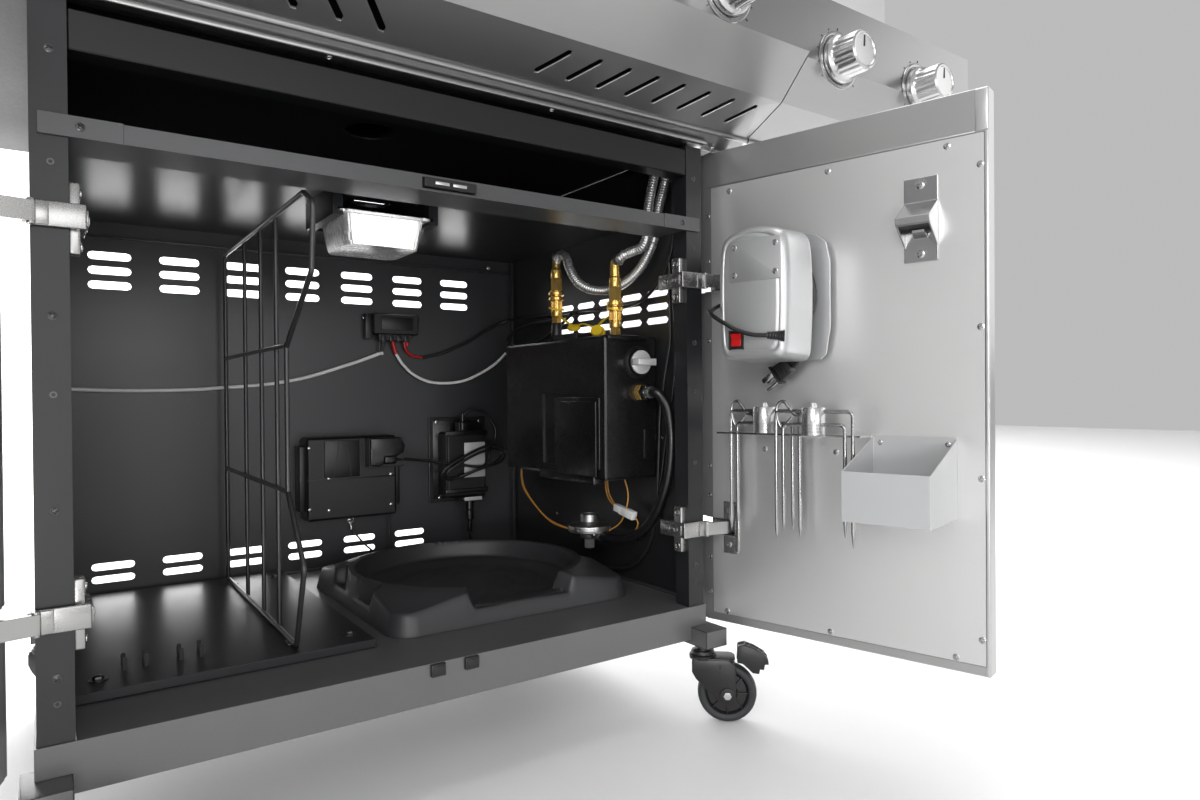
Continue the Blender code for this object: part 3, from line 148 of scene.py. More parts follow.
TR = -SWING
M = {
    "wall": make("wall_charcoal", (0.038, 0.039, 0.042), 0.25, 0.36, 0.10, 0.08, (420, 420, 420), 0.16, 0.0004, 3.0, coat=0.2, coat_rough=0.25, streak=0.25),
    "side": make("side_charcoal", (0.052, 0.053, 0.056), 0.25, 0.30, 0.10, 0.07, (420, 420, 420), 0.14, 0.0004, 3.0, coat=0.3, coat_rough=0.2, streak=0.25),
    "ceiling": make("ceiling_dark", (0.020, 0.021, 0.023), 0.2, 0.30, 0.10, 0.05, (420, 420, 420), 0.05, 0.0004, 3.0, coat=0.12, coat_rough=0.18, streak=0.25),
    "post": make("post_charcoal", (0.016, 0.0165, 0.018), 0.2, 0.36, 0.10, 0.07, (520, 520, 520), 0.15, 0.0003, 5.0, coat=0.08, coat_rough=0.25, streak=0.3),
    "rail": make("rail_grey", (0.072, 0.073, 0.075), 0.3, 0.36, 0.08, 0.06, (520, 520, 520), 0.14, 0.0003, 5.0, coat=0.15, coat_rough=0.2, streak=0.3),
    "pan": make("pan_grey", (0.140, 0.141, 0.143), 0.35, 0.36, 0.07, 0.06, (520, 520, 520), 0.14, 0.0003, 5.0, coat=0.15, coat_rough=0.2, streak=0.3),
    "raised": make("raised_dark", (0.022, 0.023, 0.025), 0.25, 0.36, 0.10, 0.06, (520, 520, 520), 0.15, 0.0003, 5.0, coat=0.08, coat_rough=0.2, streak=0.3),
    "toprail": make("top_rail_black", (0.008, 0.008, 0.009), 0.2, 0.34, 0.10, 0.06, (520, 520, 520), 0.12, 0.0003, 5.0, coat=0.08, coat_rough=0.2),
    "liner": make("liner_steel", (0.73, 0.73, 0.726), 0.78, 0.33, 0.014, 0.015, (9, 9, 1300), 0.0, 0.0002, 4.0, TR, streak=0.6),
    "shell": make("shell_steel", (0.46, 0.46, 0.457), 0.85, 0.32, 0.014, 0.015, (9, 9, 1300), 0.0, 0.0002, 4.0, TR, streak=0.6),
    "shell_v": make("shell_steel_end", (0.62, 0.62, 0.615), 0.85, 0.30, 0.02, 0.02, (1300, 1300, 9), 0.0, 0.0002, 4.0, TR, streak=0.6),
    "head_x": make("head_steel_long", (0.34, 0.34, 0.338), 1.0, 0.30, 0.02, 0.03, (8, 1300, 1300), 0.0, 0.0002, 3.0, streak=0.6),
    "head_y": make("head_steel_deep", (0.36, 0.36, 0.358), 1.0, 0.30, 0.02, 0.03, (1300, 8, 1300), 0.01, 0.0002, 3.0, streak=0.6),
    "fire": make("fire_enamel", (0.010, 0.010, 0.011), 0.1, 0.5, 0.1, 0.08, (300, 300, 300), 0.2, 0.0004, 6.0),
    "motor": make("motor_brushed", (0.53, 0.535, 0.54), 0.66, 0.36, 0.015, 0.02, (1500, 1500, 14), 0.0, 0.0002, 12.0, TR, streak=0.7),
    "motor_plate": make("motor_plate_brushed", (0.46, 0.465, 0.47), 0.66, 0.36, 0.02, 0.02, (30, 30, 1700), 0.0, 0.0002, 12.0, TR, streak=0.7),
    "chrome": make("chrome_polished", (0.38, 0.38, 0.384), 0.95, 0.20, 0.03, 0.03, (700, 700, 700), 0.0, 0.0001, 25.0, streak=0.3),
    "satin": make("steel_turned", (0.56, 0.56, 0.556), 0.88, 0.25, 0.03, 0.04, (60, 60, 2600), 0.0, 0.0001, 30.0, streak=0.6),
    "plate": make("handle_plate_bright", (0.78, 0.78, 0.775), 0.45, 0.30, 0.03, 0.04, (900, 900, 900), 0.02, 0.0001, 30.0),
    # copy of the foil for the cup wall facing the opening, brighter and emissive: a painted glow standing in for the
    # light on that face
    "foil_front_painted_glow": make("foil_painted_glow", (0.95, 0.95, 0.95), 0.35, 0.30, 0.03, 0.06, (260, 260, 70), 0.3, 0.0010, 40.0, emit=0.55),
    "nickel": make("nickel_plated", (0.40, 0.398, 0.39), 0.90, 0.26, 0.05, 0.06, (900, 900, 900), 0.02, 0.0002, 30.0),
    "zinc": make("zinc_cast", (0.50, 0.50, 0.50), 1.0, 0.36, 0.09, 0.09, (900, 900, 900), 0.14, 0.0002, 30.0),
    "screw": make("screw_steel", (0.55, 0.55, 0.545), 1.0, 0.25, 0.07, 0.07, (2400, 2400, 2400), 0.06, 0.0001, 60.0),
    "screw_dark": make("screw_black", (0.09, 0.09, 0.092), 0.8, 0.30, 0.1, 0.08, (2400, 2400, 2400), 0.08, 0.0001, 60.0),
    "brass": make("brass_machined", (0.78, 0.50, 0.14), 0.80, 0.22, 0.08, 0.06, (2200, 2200, 2200), 0.03, 0.0001, 45.0),
    "flex": make("corrugated_steel", (0.64, 0.64, 0.635), 0.82, 0.26, 0.05, 0.06, (900, 900, 900), 0.02, 0.0001, 30.0),
    "bin": make("bin_powder", (0.50, 0.505, 0.51), 0.2, 0.42, 0.03, 0.05, (900, 900, 900), 0.10, 0.0003, 9.0, spec=0.5),
    "plastic": make("black_plastic", (0.009, 0.009, 0.010), 0.0, 0.36, 0.12, 0.08, (1800, 1800, 1800), 0.16, 0.0002, 12.0, spec=0.5),
    "gloss": make("gloss_black_shell", (0.006, 0.006, 0.0065), 0.0, 0.27, 0.10, 0.06, (1500, 1500, 1500), 0.10, 0.0002, 10.0, coat=0.12, coat_rough=0.15),
    "tray": make("tray_polymer", (0.036, 0.037, 0.039), 0.0, 0.42, 0.09, 0.07, (1500, 1500, 1500), 0.14, 0.0003, 8.0, spec=0.5),
    "rubber": make("caster_rubber", (0.022, 0.023, 0.025), 0.0, 0.55, 0.12, 0.08, (800, 800, 800), 0.22, 0.0003, 20.0, dust=0.12),
    "caster": make("caster_black", (0.007, 0.007, 0.008), 0.1, 0.36, 0.12, 0.08, (900, 900, 900), 0.12, 0.0002, 20.0, coat=0.1),
    "cord": make("cord_black", (0.012, 0.012, 0.012), 0.0, 0.34, 0.14, 0.08, (1500, 1500, 1500), 0.12, 0.0002, 30.0),
    "hose": make("hose_gloss_black", (0.006, 0.006, 0.007), 0.0, 0.30, 0.12, 0.06, (900, 900, 900), 0.08, 0.0002, 30.0, coat=0.15, coat_rough=0.15),
    "white": make("wire_white", (0.78, 0.78, 0.77), 0.0, 0.38, 0.04, 0.07, (1500, 1500, 1500), 0.06, 0.0001, 30.0),
    "red": make("switch_red", (0.50, 0.008, 0.008), 0.0, 0.30, 0.08, 0.06, (1500, 1500, 1500), 0.05, 0.0001, 50.0, coat=0.3),
    "orange": make("wire_orange", (0.55, 0.26, 0.05), 0.0, 0.38, 0.08, 0.06, (1500, 1500, 1500), 0.05, 0.0001, 50.0),
    "yellow": make("strap_yellow", (0.74, 0.50, 0.02), 0.0, 0.40, 0.08, 0.06, (1500, 1500, 1500), 0.08, 0.0001, 50.0),
    "foil": make("foil_bright", (0.90, 0.90, 0.90), 0.55, 0.26, 0.04, 0.07, (260, 260, 70), 0.35, 0.0010, 40.0),
    "iron": make("rack_black", (0.050, 0.050, 0.052), 0.45, 0.33, 0.12, 0.08, (1100, 1100, 1100), 0.14, 0.0002, 20.0, coat=0.25, coat_rough=0.2),
    "grate": make("grate_cast_iron", (0.035, 0.034, 0.033), 0.25, 0.55, 0.2, 0.1, (700, 700, 700), 0.4, 0.0005, 12.0),
    "lens": make("tag_grey", (0.50, 0.50, 0.50), 0.2, 0.4, 0.05, 0.06, (900, 900, 900), 0.05, 0.0001, 30.0),
    "light": make("catch_metal", (0.70, 0.70, 0.69), 1.0, 0.30, 0.05, 0.06, (900, 900, 900), 0.05, 0.0001, 30.0),
    "mark": make("dial_mark", (0.012, 0.012, 0.012), 0.0, 0.4, 0.1, 0.05, (900, 900, 900), 0.02, 0.0001, 30.0),
    "block": make("foot_block_grey", (0.115, 0.116, 0.118), 0.3, 0.40, 0.08, 0.06, (700, 700, 700), 0.16, 0.0003, 9.0),
}


# ================================================================ mesh helpers
def merge(bm, tmp, mx=None):
    if mx is not None:
        bmesh.ops.transform(tmp, matrix=mx, verts=tmp.verts)
    me = bpy.data.meshes.new("tmp")
    tmp.to_mesh(me)
    tmp.free()
    bm.from_mesh(me)
    bpy.data.meshes.remove(me)


def put(name, bm, mat, body, xf=CART, sharp=38.0, recalc=True):
    bmesh.ops.transform(bm, matrix=xf, verts=bm.verts)
    if recalc:
        bmesh.ops.recalc_face_normals(bm, faces=bm.faces)
    me = bpy.data.meshes.new(name)
    bm.to_mesh(me)
    bm.free()
    o = bpy.data.objects.new(name, me)
    bpy.context.scene.collection.objects.link(o)
    me.materials.append(M[mat] if isinstance(mat, str) else mat)
    for p in me.polygons:
        p.use_smooth = True
    me.set_sharp_from_angle(angle=math.radians(sharp))
    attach(o, body)
    return o


def rbox(bm, x0, x1, y0, y1, z0, z1, r=0.001, seg=2, mx=None):
    t = bmesh.new()
    bmesh.ops.create_cube(t, size=1.0)
    x0, x1 = sorted((x0, x1))
    y0, y1 = sorted((y0, y1))
    z0, z1 = sorted((z0, z1))
    for v in t.verts:
        v.co = Vector(((x0 + x1) / 2 + v.co.x * (x1 - x0), (y0 + y1) / 2 + v.co.y * (y1 - y0), (z0 + z1) / 2 + v.co.z * (z1 - z0)))
    r = min(r, 0.45 * min(x1 - x0, y1 - y0, z1 - z0))
    bmesh.ops.bevel(t, geom=list(t.edges), offset=r, segments=seg, profile=0.5, affect="EDGES", clamp_overlap=True)
    merge(bm, t, mx)


def extr(bm, pts, a, b, plane="xz", r=0.0008, seg=2, mx=None, ang=25.0):
    """Outline pushed from a to b; plane xz pushes along y, yz along x, xy along z. Its rims are rounded."""
    t = bmesh.new()

    def at(u, v, h):
        return {"xz": (u, h, v), "yz": (h, u, v), "xy": (u, v, h)}[plane]

    lo = [t.verts.new(at(u, v, a)) for u, v in pts]
    hi = [t.verts.new(at(u, v, b)) for u, v in pts]
    n = len(pts)
    for i in range(n):
        j = (i + 1) % n
        t.faces.new((lo[i], lo[j], hi[j], hi[i]))
    t.faces.new(lo[::-1])
    t.faces.new(hi)
    bmesh.ops.recalc_face_normals(t, faces=t.faces)
    if r > 0:
        es = [e for e in t.edges if len(e.link_faces) == 2 and e.calc_face_angle(0) > math.radians(ang)]
        bmesh.ops.bevel(t, geom=es, offset=r, segments=seg, profile=0.5, affect="EDGES", clamp_overlap=True)
    merge(bm, t, mx)


def lathe(bm, prof, mx=None, seg=40, cap=True):
    t = bmesh.new()
    rings = []
    for r, z in prof:
        if r < 1e-6:
            rings.append([t.verts.new((0, 0, z))])
        else:
            rings.append([t.verts.new((r * math.cos(2 * math.pi * k / seg), r * math.sin(2 * math.pi * k / seg), z)) for k in range(seg)])
    for a, b in zip(rings, rings[1:]):
        for k in range(seg):
            j = (k + 1) % seg
            f = [a[k % len(a)], a[j % len(a)], b[j % len(b)], b[k % len(b)]]
            u = []
            for v in f:
                if v not in u:
                    u.append(v)
            if len(u) > 2:
                t.faces.new(u)
    if cap:
        for ring in (rings[0], rings[-1]):
            if len(ring) > 1:
                t.faces.new(ring)
    bmesh.ops.recalc_face_normals(t, faces=t.faces)
    merge(bm, t, mx)


def axis_to(direction, origin=(0, 0, 0)):
    """Matrix taking +Z to direction at origin."""
    return Matrix.Translation(origin) @ Vector(direction).to_track_quat("Z", "Y").to_matrix().to_4x4()


def catmull(pts, n):
    p = [Vector(q) for q in pts]
    p = [p[0] * 2 - p[1]] + p + [p[-1] * 2 - p[-2]]
    out = []
    for i in range(1, len(p) - 2):
        for k in range(n):
            t = k / n
            a, b, c, d = p[i - 1:i + 3]
            out.append(0.5 * ((2 * b) + (c - a) * t + (2 * a - 5 * b + 4 * c - d) * t * t + (3 * b - a - 3 * c + d) * t ** 3))
    out.append(p[-2].copy())
    return out


def tube(bm, pts, r, seg=12, mx=None, closed=False, radii=None, flat=None):
    """Round tube along points; radii gives a radius at each point, flat squeezes it to a strip."""
    t = bmesh.new()
    pts = [Vector(p) for p in pts]
    n = len(pts)
    tang = []
    for i in range(n):
        a = pts[(i - 1) % n] if closed or i else pts[0]
        b = pts[(i + 1) % n] if closed or i < n - 1 else pts[-1]
        tang.append((b - a).normalized())
    up = Vector((0, 0, 1)) if abs(tang[0].z) < 0.9 else Vector((1, 0, 0))
    nrm = (up - tang[0] * up.dot(tang[0])).normalized()
    rings = []
    for i in range(n):
        if i:
            q = tang[i - 1].rotation_difference(tang[i])
            nrm = (q @ nrm)
            nrm = (nrm - tang[i] * nrm.dot(tang[i])).normalized()
        bn = tang[i].cross(nrm)
        rr = radii[i] if radii else r
        fl = flat if flat else (1.0, 1.0)
        rings.append([t.verts.new(pts[i] + nrm * (rr * fl[0] * math.cos(2 * math.pi * k / seg)) + bn * (rr * fl[1] * math.sin(2 * math.pi * k / seg)))
                      for k in range(seg)])
    m = n if closed else n - 1
    for i in range(m):
        a, b = rings[i], rings[(i + 1) % n]
        for k in range(seg):
            j = (k + 1) % seg
            t.faces.new((a[k], a[j], b[j], b[k]))
    if not closed:
        t.faces.new(rings[0][::-1])
        t.faces.new(rings[-1])
    bmesh.ops.recalc_face_normals(t, faces=t.faces)
    merge(bm, t, mx)


def bend(pts, r, n=5):
    """Polyline with its corners rounded to radius r, as bent wire."""
    p = [Vector(q) for q in pts]
    out = [p[0]]
    for i in range(1, len(p) - 1):
        a, b, c = p[i - 1], p[i], p[i + 1]
        d1, d2 = (a - b), (c - b)
        ang = d1.angle(d2)
        if ang > math.radians(177):
            out.append(b)
            continue
        cut_ = min(r / math.tan(ang / 2), 0.45 * d1.length, 0.45 * d2.length)
        s, e = b + d1.normalized() * cut_, b + d2.normalized() * cut_
        for k in range(n + 1):
            t = k / n
            out.append((1 - t) ** 2 * s + 2 * t * (1 - t) * b + t * t * e)
    out.append(p[-1])
    return out


def screw(bm, at, normal, r=0.0032, h=0.0013, mx=None, turn=0.4):
    """Pan-head screw with a cross recess, its head standing on the surface at the point."""
    t = bmesh.new()
    rings, seg = 9, 32
    grid = []
    arm, wid, dep = 0.62 * r, 0.17 * r, 0.75 * h
    for i in range(rings + 1):
        rr = r * i / rings
        row = []
        for k in range(seg if i else 1):
            a = 2 * math.pi * k / seg
            x, y = rr * math.cos(a), rr * math.sin(a)
            z = h * (1 - 0.55 * (rr / r) ** 2)
            cx, cy = x * math.cos(turn) + y * math.sin(turn), -x * math.sin(turn) + y * math.cos(turn)
            if (abs(cx) < wid and abs(cy) < arm) or (abs(cy) < wid and abs(cx) < arm):
                z -= dep
            row.append(t.verts.new((x, y, z)))
        grid.append(row)
    grid.append([t.verts.new((r * math.cos(2 * math.pi * k / seg), r * math.sin(2 * math.pi * k / seg), -0.0002)) for k in range(seg)])
    for k in range(seg):
        t.faces.new((grid[0][0], grid[1][k], grid[1][(k + 1) % seg]))
    for i in range(1, len(grid) - 1):
        for k in range(seg):
            j = (k + 1) % seg
            t.faces.new((grid[i][k], grid[i + 1][k], grid[i + 1][j], grid[i][j]))
    t.faces.new(grid[-1][::-1])
    bmesh.ops.transform(t, matrix=axis_to(normal, at), verts=t.verts)
    merge(bm, t, mx)


def cad(name, mat, bevel=0.0, seg=2, angle=40.0):
    """Gives a CAD node its finish, and eases its edges."""
    o = NODES[name]
    m = M[mat] if isinstance(mat, str) else mat
    if not o.data.materials:
        o.data.materials.append(m)
    for i in range(len(o.data.materials)):
        o.data.materials[i] = m
    if bevel:
        w = o.modifiers.new("weld", "WELD")
        w.merge_threshold = 0.00002
        b = o.modifiers.new("ease", "BEVEL")
        b.width = bevel
        b.segments = seg
        b.limit_method = "ANGLE"
        b.angle_limit = math.radians(angle)
        b.use_clamp_overlap = True
        b.harden_normals = False
    return o


def arc(cx, cy, r, a0, a1, n):
    return [(cx + r * math.cos(math.radians(a0 + (a1 - a0) * i / n)), cy + r * math.sin(math.radians(a0 + (a1 - a0) * i / n))) for i in range(n + 1)]


def rr_outline(u0, u1, v0, v1, r, n=6):
    return (arc(u1 - r, v1 - r, r, 0, 90, n) + arc(u0 + r, v1 - r, r, 90, 180, n) + arc(u0 + r, v0 + r, r, 180, 270, n) + arc(u1 - r, v0 + r, r, 270, 360, n))


# ================================================================ carried-over solids
for n, m, b in (("side_frame_left", "post", 0.0), ("side_frame_right", "post", 0.0), ("bottom_shelf", "pan", 0.0004), ("raised_shelf_panel", "raised", 0.0),
                ("back_panel", "wall", 0.0), ("front_cross_rail", "rail", 0.0004), ("top_front_rail", "toprail", 0.0), ("cabinet_ceiling", "ceiling", 0.0),
                ("magnet_catch", "plastic", 0.0), ("door_right_shell", "shell", 0.0), ("door_right_liner", "liner", 0.0), ("fork_holder", "liner", 0.0),
                ("cord_spool", "motor", 0.0006), ("firebox", "fire", 0.0), ("cooking_grate", "grate", 0.0008), ("control_panel", "head_x", 0.0005),
                ("side_shelf_left", "head_x", 0.0), ("side_shelf_right", "head_x", 0.0), ("burners", "satin", 0.0), ("hinge_link_right_lower", "nickel", 0.0004),
                ("hinge_link_right_upper", "nickel", 0.0004), ("hinge_link_left_lower", "nickel", 0.0004), ("hinge_link_left_upper", "nickel", 0.0004),
                ("brake_lever_front_right", "plastic", 0.0006), ("brake_lever_front_left", "plastic", 0.0006), ("motor_rocker_switch", "red", 0.0004),
                ("control_box", "plastic", 0.0008), ("power_adapter", "plastic", 0.0008), ("junction_block", "plastic", 0.0006), ("selector_box", "gloss", 0.0008),
                ("bottle_opener", "chrome", 0.0005), ("condiment_bin", "bin", 0.0005)):
    cad(n, m, b)
TL = SWING
M["liner_l"] = make("liner_steel_left", (0.73, 0.73, 0.726), 0.78, 0.33, 0.014, 0.015, (9, 9, 1300), 0.0, 0.0002, 4.0, TL, streak=0.72)
M["shell_l"] = make("shell_steel_left", (0.46, 0.46, 0.457), 0.85, 0.32, 0.014, 0.015, (9, 9, 1300), 0.0, 0.0002, 4.0, TL, streak=0.72)
cad("door_left_shell", "shell_l")
cad("door_left_liner", "liner_l")

# ================================================================ camera, lights, floor
YAW, PITCH, ROLL = math.radians(35.2226), math.radians(-0.4234), math.radians(-0.4611)
F = Vector((math.sin(YAW) * math.cos(PITCH), math.cos(YAW) * math.cos(PITCH), math.sin(PITCH)))
R = Vector((math.cos(YAW), -math.sin(YAW), 0.0))
U = R.cross(F)
R2 = R * math.cos(ROLL) + U * math.sin(ROLL)
U2 = U * math.cos(ROLL) - R * math.sin(ROLL)
cd = bpy.data.cameras.new("view")
cam = bpy.data.objects.new("view", cd)
bpy.context.scene.collection.objects.link(cam)
cam.matrix_world = Matrix(((R2.x, U2.x, -F.x, -0.3358), (R2.y, U2.y, -F.y, -0.8573), (R2.z, U2.z, -F.z, 0.4120), (0, 0, 0, 1)))
cd.sensor_width = 36.0
cd.lens = 783.7165 / 1200 * 36.0
cd.clip_start, cd.clip_end = 0.02, 60.0
bpy.context.scene.camera = cam


def area(name, loc, target, size, power, size_y=None, color=(1, 1, 1)):
    d = bpy.data.lights.new(name, "AREA")
    d.energy = power
    d.color = color
    d.shape = "RECTANGLE"
    d.size = size
    d.size_y = size_y or size
    o = bpy.data.objects.new(name, d)
    bpy.context.scene.collection.objects.link(o)
    o.location = loc
    o.rotation_euler = (Vector(target) - Vector(loc)).to_track_quat("-Z", "Y").to_euler()
    return o


area("key", (-1.9, -2.0, 1.5), (0.25, 0.0, 0.35), 1.6, 34.0, 1.2)
area("front", (-0.1, -3.0, 0.9), (0.1, 0.1, 0.35), 1.6, 14.0, 1.0)
area("low", (-0.9, -1.9, 0.12), (0.15, 0.2, 0.45), 0.8, 7.0, 0.2)
area("top", (0.4, 0.2, 3.2), (0.0, 0.0, 0.5), 2.6, 60.0)
area("right", (2.6, -1.0, 1.2), (0.4, -0.2, 0.5), 1.4, 8.0)
area("rear", (-0.2, 3.0, 1.4), (0.0, 0.2, 0.4), 2.2, 34.0)

area("backdrop", (0.6, 2.4, 3.4), (1.6, 5.6, 1.2), 2.4, 420.0)
area("backdrop_low", (1.0, 1.6, 2.6), (1.4, 3.6, 0.0), 2.0, 130.0)

w = bpy.data.worlds.new("studio")
bpy.context.scene.world = w
w.use_nodes = True
w.node_tree.nodes["Background"].inputs[0].default_value = (1.0, 1.0, 1.0, 1)
w.node_tree.nodes["Background"].inputs[1].default_value = 0.50
bpy.context.scene.view_settings.view_transform = "Standard"

fm = make("floor_pale", (0.90, 0.90, 0.90), 0.0, 0.55, 0.012, 0.05, (40, 40, 40), 0.01, 0.0005, 0.8)
fb = bmesh.new()
prof = [(-9.0, 0.0)] + [(y, 0.0) for y in (-3.0, 0.0, 2.0, 4.0)] + [(4.0 + 1.6 * math.sin(math.radians(a)), 1.6 - 1.6 * math.cos(math.radians(a))) for a in range(6, 91, 6)] + [(5.6, 8.0)]
cols = [[fb.verts.new((x, y, z)) for y, z in prof] for x in (-9.0, 9.0)]
for i in range(len(prof) - 1):
    fb.faces.new((cols[0][i], cols[1][i], cols[1][i + 1], cols[0][i + 1]))
me = bpy.data.meshes.new("studio_floor")
fb.to_mesh(me)
fb.free()
floor = bpy.data.objects.new("studio_floor", me)
bpy.context.scene.collection.objects.link(floor)
me.materials.append(fm)
for p in me.polygons:
    p.use_smooth = True

# ================================================================ right door: screws, strips, stored tools
bm = bmesh.new()
IN = (0, 1, 0)
for u, z in ((.038, .673), (.170, .673), (.302, .674), (.3345, .649), (.3345, .483), (.3345, .327), (.3345, .161), (.309, .1385), (.170, .1385), (.031, .1385)):
    screw(bm, (u, 0.0000, z), IN, 0.0036, 0.0013, turn=0.5 + 7 * z)
put("door_liner_screws_right", bm, "screw", "right_door", DR)
bm = bmesh.new()
for z in (.646, .587, .523, .485, .323, .285, .205, .160):
    screw(bm, (0.0058, 0.0000, z), IN, 0.0026, 0.0010, turn=9 * z)
put("door_edge_screws_right", bm, "screw", "right_door", DR)
bm = bmesh.new()
rbox(bm, 0.3290, 0.3421, -0.0199, 0.00045, 0.6835, 0.7266, 0.0014, 3)
put("door_header_end_cap_right", bm, "shell_v", "right_door", DR)
bm = bmesh.new()
rbox(bm, 0.3383, 0.3421, -0.0190, 0.0005, 0.1248, 0.6830, 0.0010, 2)
put("door_free_edge_strip_right", bm, "shell_v", "right_door", DR)
bm = bmesh.new()
rbox(bm, 0.0003, 0.3288, -0.0006, 0.0007, 0.6822, 0.6842, 0.0005, 2)
put("door_header_lip_right", bm, "shell", "right_door", DR)
for side, D, s in (("right", DR, 1), ("left", DL, -1)):
    bm = bmesh.new()
    bs = bmesh.new()
    for z in (0.246, 0.559):
        # cup plate: a frame round the pocket
        rbox(bm, 0.0270, 0.0480, -0.0002, 0.0016, z + 0.0108, z + 0.0330, 0.0025, 3)
        rbox(bm, 0.0270, 0.0480, -0.0002, 0.0016, z - 0.0330, z - 0.0108, 0.0025, 3)
        rbox(bm, 0.0432, 0.0500, -0.0040, 0.0018, z - 0.0300, z + 0.0300, 0.0016, 3)
        rbox(bm, 0.0070, 0.0480, -0.0150, -0.0138, z - 0.0104, z + 0.0104, 0.0004, 2)
        for dz in (-0.0215, 0.0215):
            screw(bs, (0.0355, 0.0015, z + dz), IN, 0.0040, 0.0014, turn=0.3 + 20 * dz)
    put("hinge_cup_plates_" + side, bm, "nickel", side + "_door", D)
    put("hinge_cup_screws_" + side, bs, "screw", side + "_door", D)
bm = bmesh.new()
for u, z in ((.038, .673), (.170, .673), (.302, .674), (.3345, .649), (.3345, .483), (.3345, .327), (.3345, .161), (.309, .1385), (.170, .1385), (.031, .1385)):
    screw(bm, (u, 0.0000, z), IN, 0.0036, 0.0013, turn=0.9 + 7 * z)
put("door_liner_screws_left", bm, "screw", "left_door", DL)
bm = bmesh.new()
rbox(bm, 0.3290, 0.3421, -0.0199, 0.00045, 0.6835, 0.7266, 0.0014, 3)
rbox(bm, 0.3383, 0.3421, -0.0190, 0.0005, 0.1248, 0.6830, 0.0010, 2)
rbox(bm, 0.0003, 0.3288, -0.0006, 0.0007, 0.6822, 0.6842, 0.0005, 2)
put("door_edge_trim_left", bm, "shell_l", "left_door", DL)

# ---- rotisserie motor
UM, ZM = 0.1180, 0.5300
MF = [(0.0, 1.0), (0.45, 0.965), (0.75, 0.90), (0.90, 0.80), (0.965, 0.62), (1.0, 0.2), (1.0, -0.2), (0.975, -0.6), (0.94, -0.86), (0.88, -0.95), (0.74, -1.0), (0.4, -1.0), (0.0, -1.0)]
MF = MF + [(-a, b) for a, b in MF[-2:0:-1]]


def motor_out(off=0.0):
    """Arched case outline, offset inwards by off."""
    p = [Vector((UM + a * (0.0462 - off), ZM + b * (0.0768 - off))) for a, b in MF]
    n, out = len(p), []
    for i in range(n):
        a, b, c, d = p[i - 1], p[i], p[(i + 1) % n], p[(i + 2) % n]
        for k in range(5):
            t = k / 5
            q = 0.5 * ((2 * b) + (c - a) * t + (2 * a - 5 * b + 4 * c - d) * t * t + (3 * b - a - 3 * c + d) * t ** 3)
            out.append((q.x, q.y))
    return out


bm = bmesh.new()
prof = [(0.0283, 0.0000), (0.0283, 0.0), (0.0300, -0.0008), (0.0330, -0.0008), (0.0345, 0.0000), (0.0760, 0.0016), (0.0800, 0.0020), (0.0845, 0.0040),
        (0.0868, 0.0068), (0.0874, 0.0092), (0.0866, 0.0102), (0.0866, 0.0110), (0.0878, 0.0122), (0.0884, 0.0150)]
t = bmesh.new()
rings = []
for w_, off in prof:
    rings.append([t.verts.new((u, w_, z)) for u, z in motor_out(off + 0.0006)])
for a, b in zip(rings, rings[1:]):
    m_ = len(a)
    for i in range(m_):
        j = (i + 1) % m_
        t.faces.new((a[i], a[j], b[j], b[i]))
t.faces.new(rings[0][::-1])
t.faces.new(rings[-1])
bmesh.ops.remove_doubles(t, verts=t.verts, dist=0.00001)
merge(bm, t)
motor = put("motor_case", bm, "motor", "rotisserie_motor", DR, 50)
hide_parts("rotisserie_motor")
bm = bmesh.new()
extr(bm, rr_outline(0.0915, 0.1560, 0.5420, 0.5890, 0.003), 0.0880, 0.0896, "xz", 0.0005, 2)
put("motor_cover_plate", bm, "motor_plate", "rotisserie_motor", DR)
bm = bmesh.new()
for u, z in ((0.0985, 0.5810), (0.1498, 0.5812), (0.0985, 0.5500), (0.1498, 0.5500)):
    screw(bm, (u, 0.0895, z), IN, 0.0033, 0.0011, turn=0.4 + 31 * u)
put("motor_plate_screws", bm, "screw", "rotisserie_motor", DR)
bm = bmesh.new()
for x0, x1, z0, z1 in ((0.0905, 0.0925, 0.4660, 0.4880), (0.1075, 0.1095, 0.4660, 0.4880), (0.0905, 0.1095, 0.4665, 0.4688), (0.0905, 0.1095, 0.4852, 0.4875)):
    rbox(bm, x0, x1, 0.0860, 0.0902, z0, z1, 0.0005, 2)
rbox(bm, 0.0915, 0.1085, 0.0865, 0.0887, 0.4668, 0.4872, 0.0003, 1)
put("rocker_bezel", bm, "plastic", "rotisserie_motor", DR)
# strain-relief boot
bm = bmesh.new()
bp = catmull([(0.1590, 0.0872, 0.4788), (0.1555, 0.0892, 0.4790), (0.1500, 0.0912, 0.4794), (0.1420, 0.0933, 0.4800)], 8)
tube(bm, bp, 0.004, 18, radii=[0.0062 - 0.0026 * i / (len(bp) - 1) + (0.0006 if i % 3 == 0 else 0.0) for i in range(len(bp))])
put("motor_cord_boot", bm, "cord", "rotisserie_motor", DR)
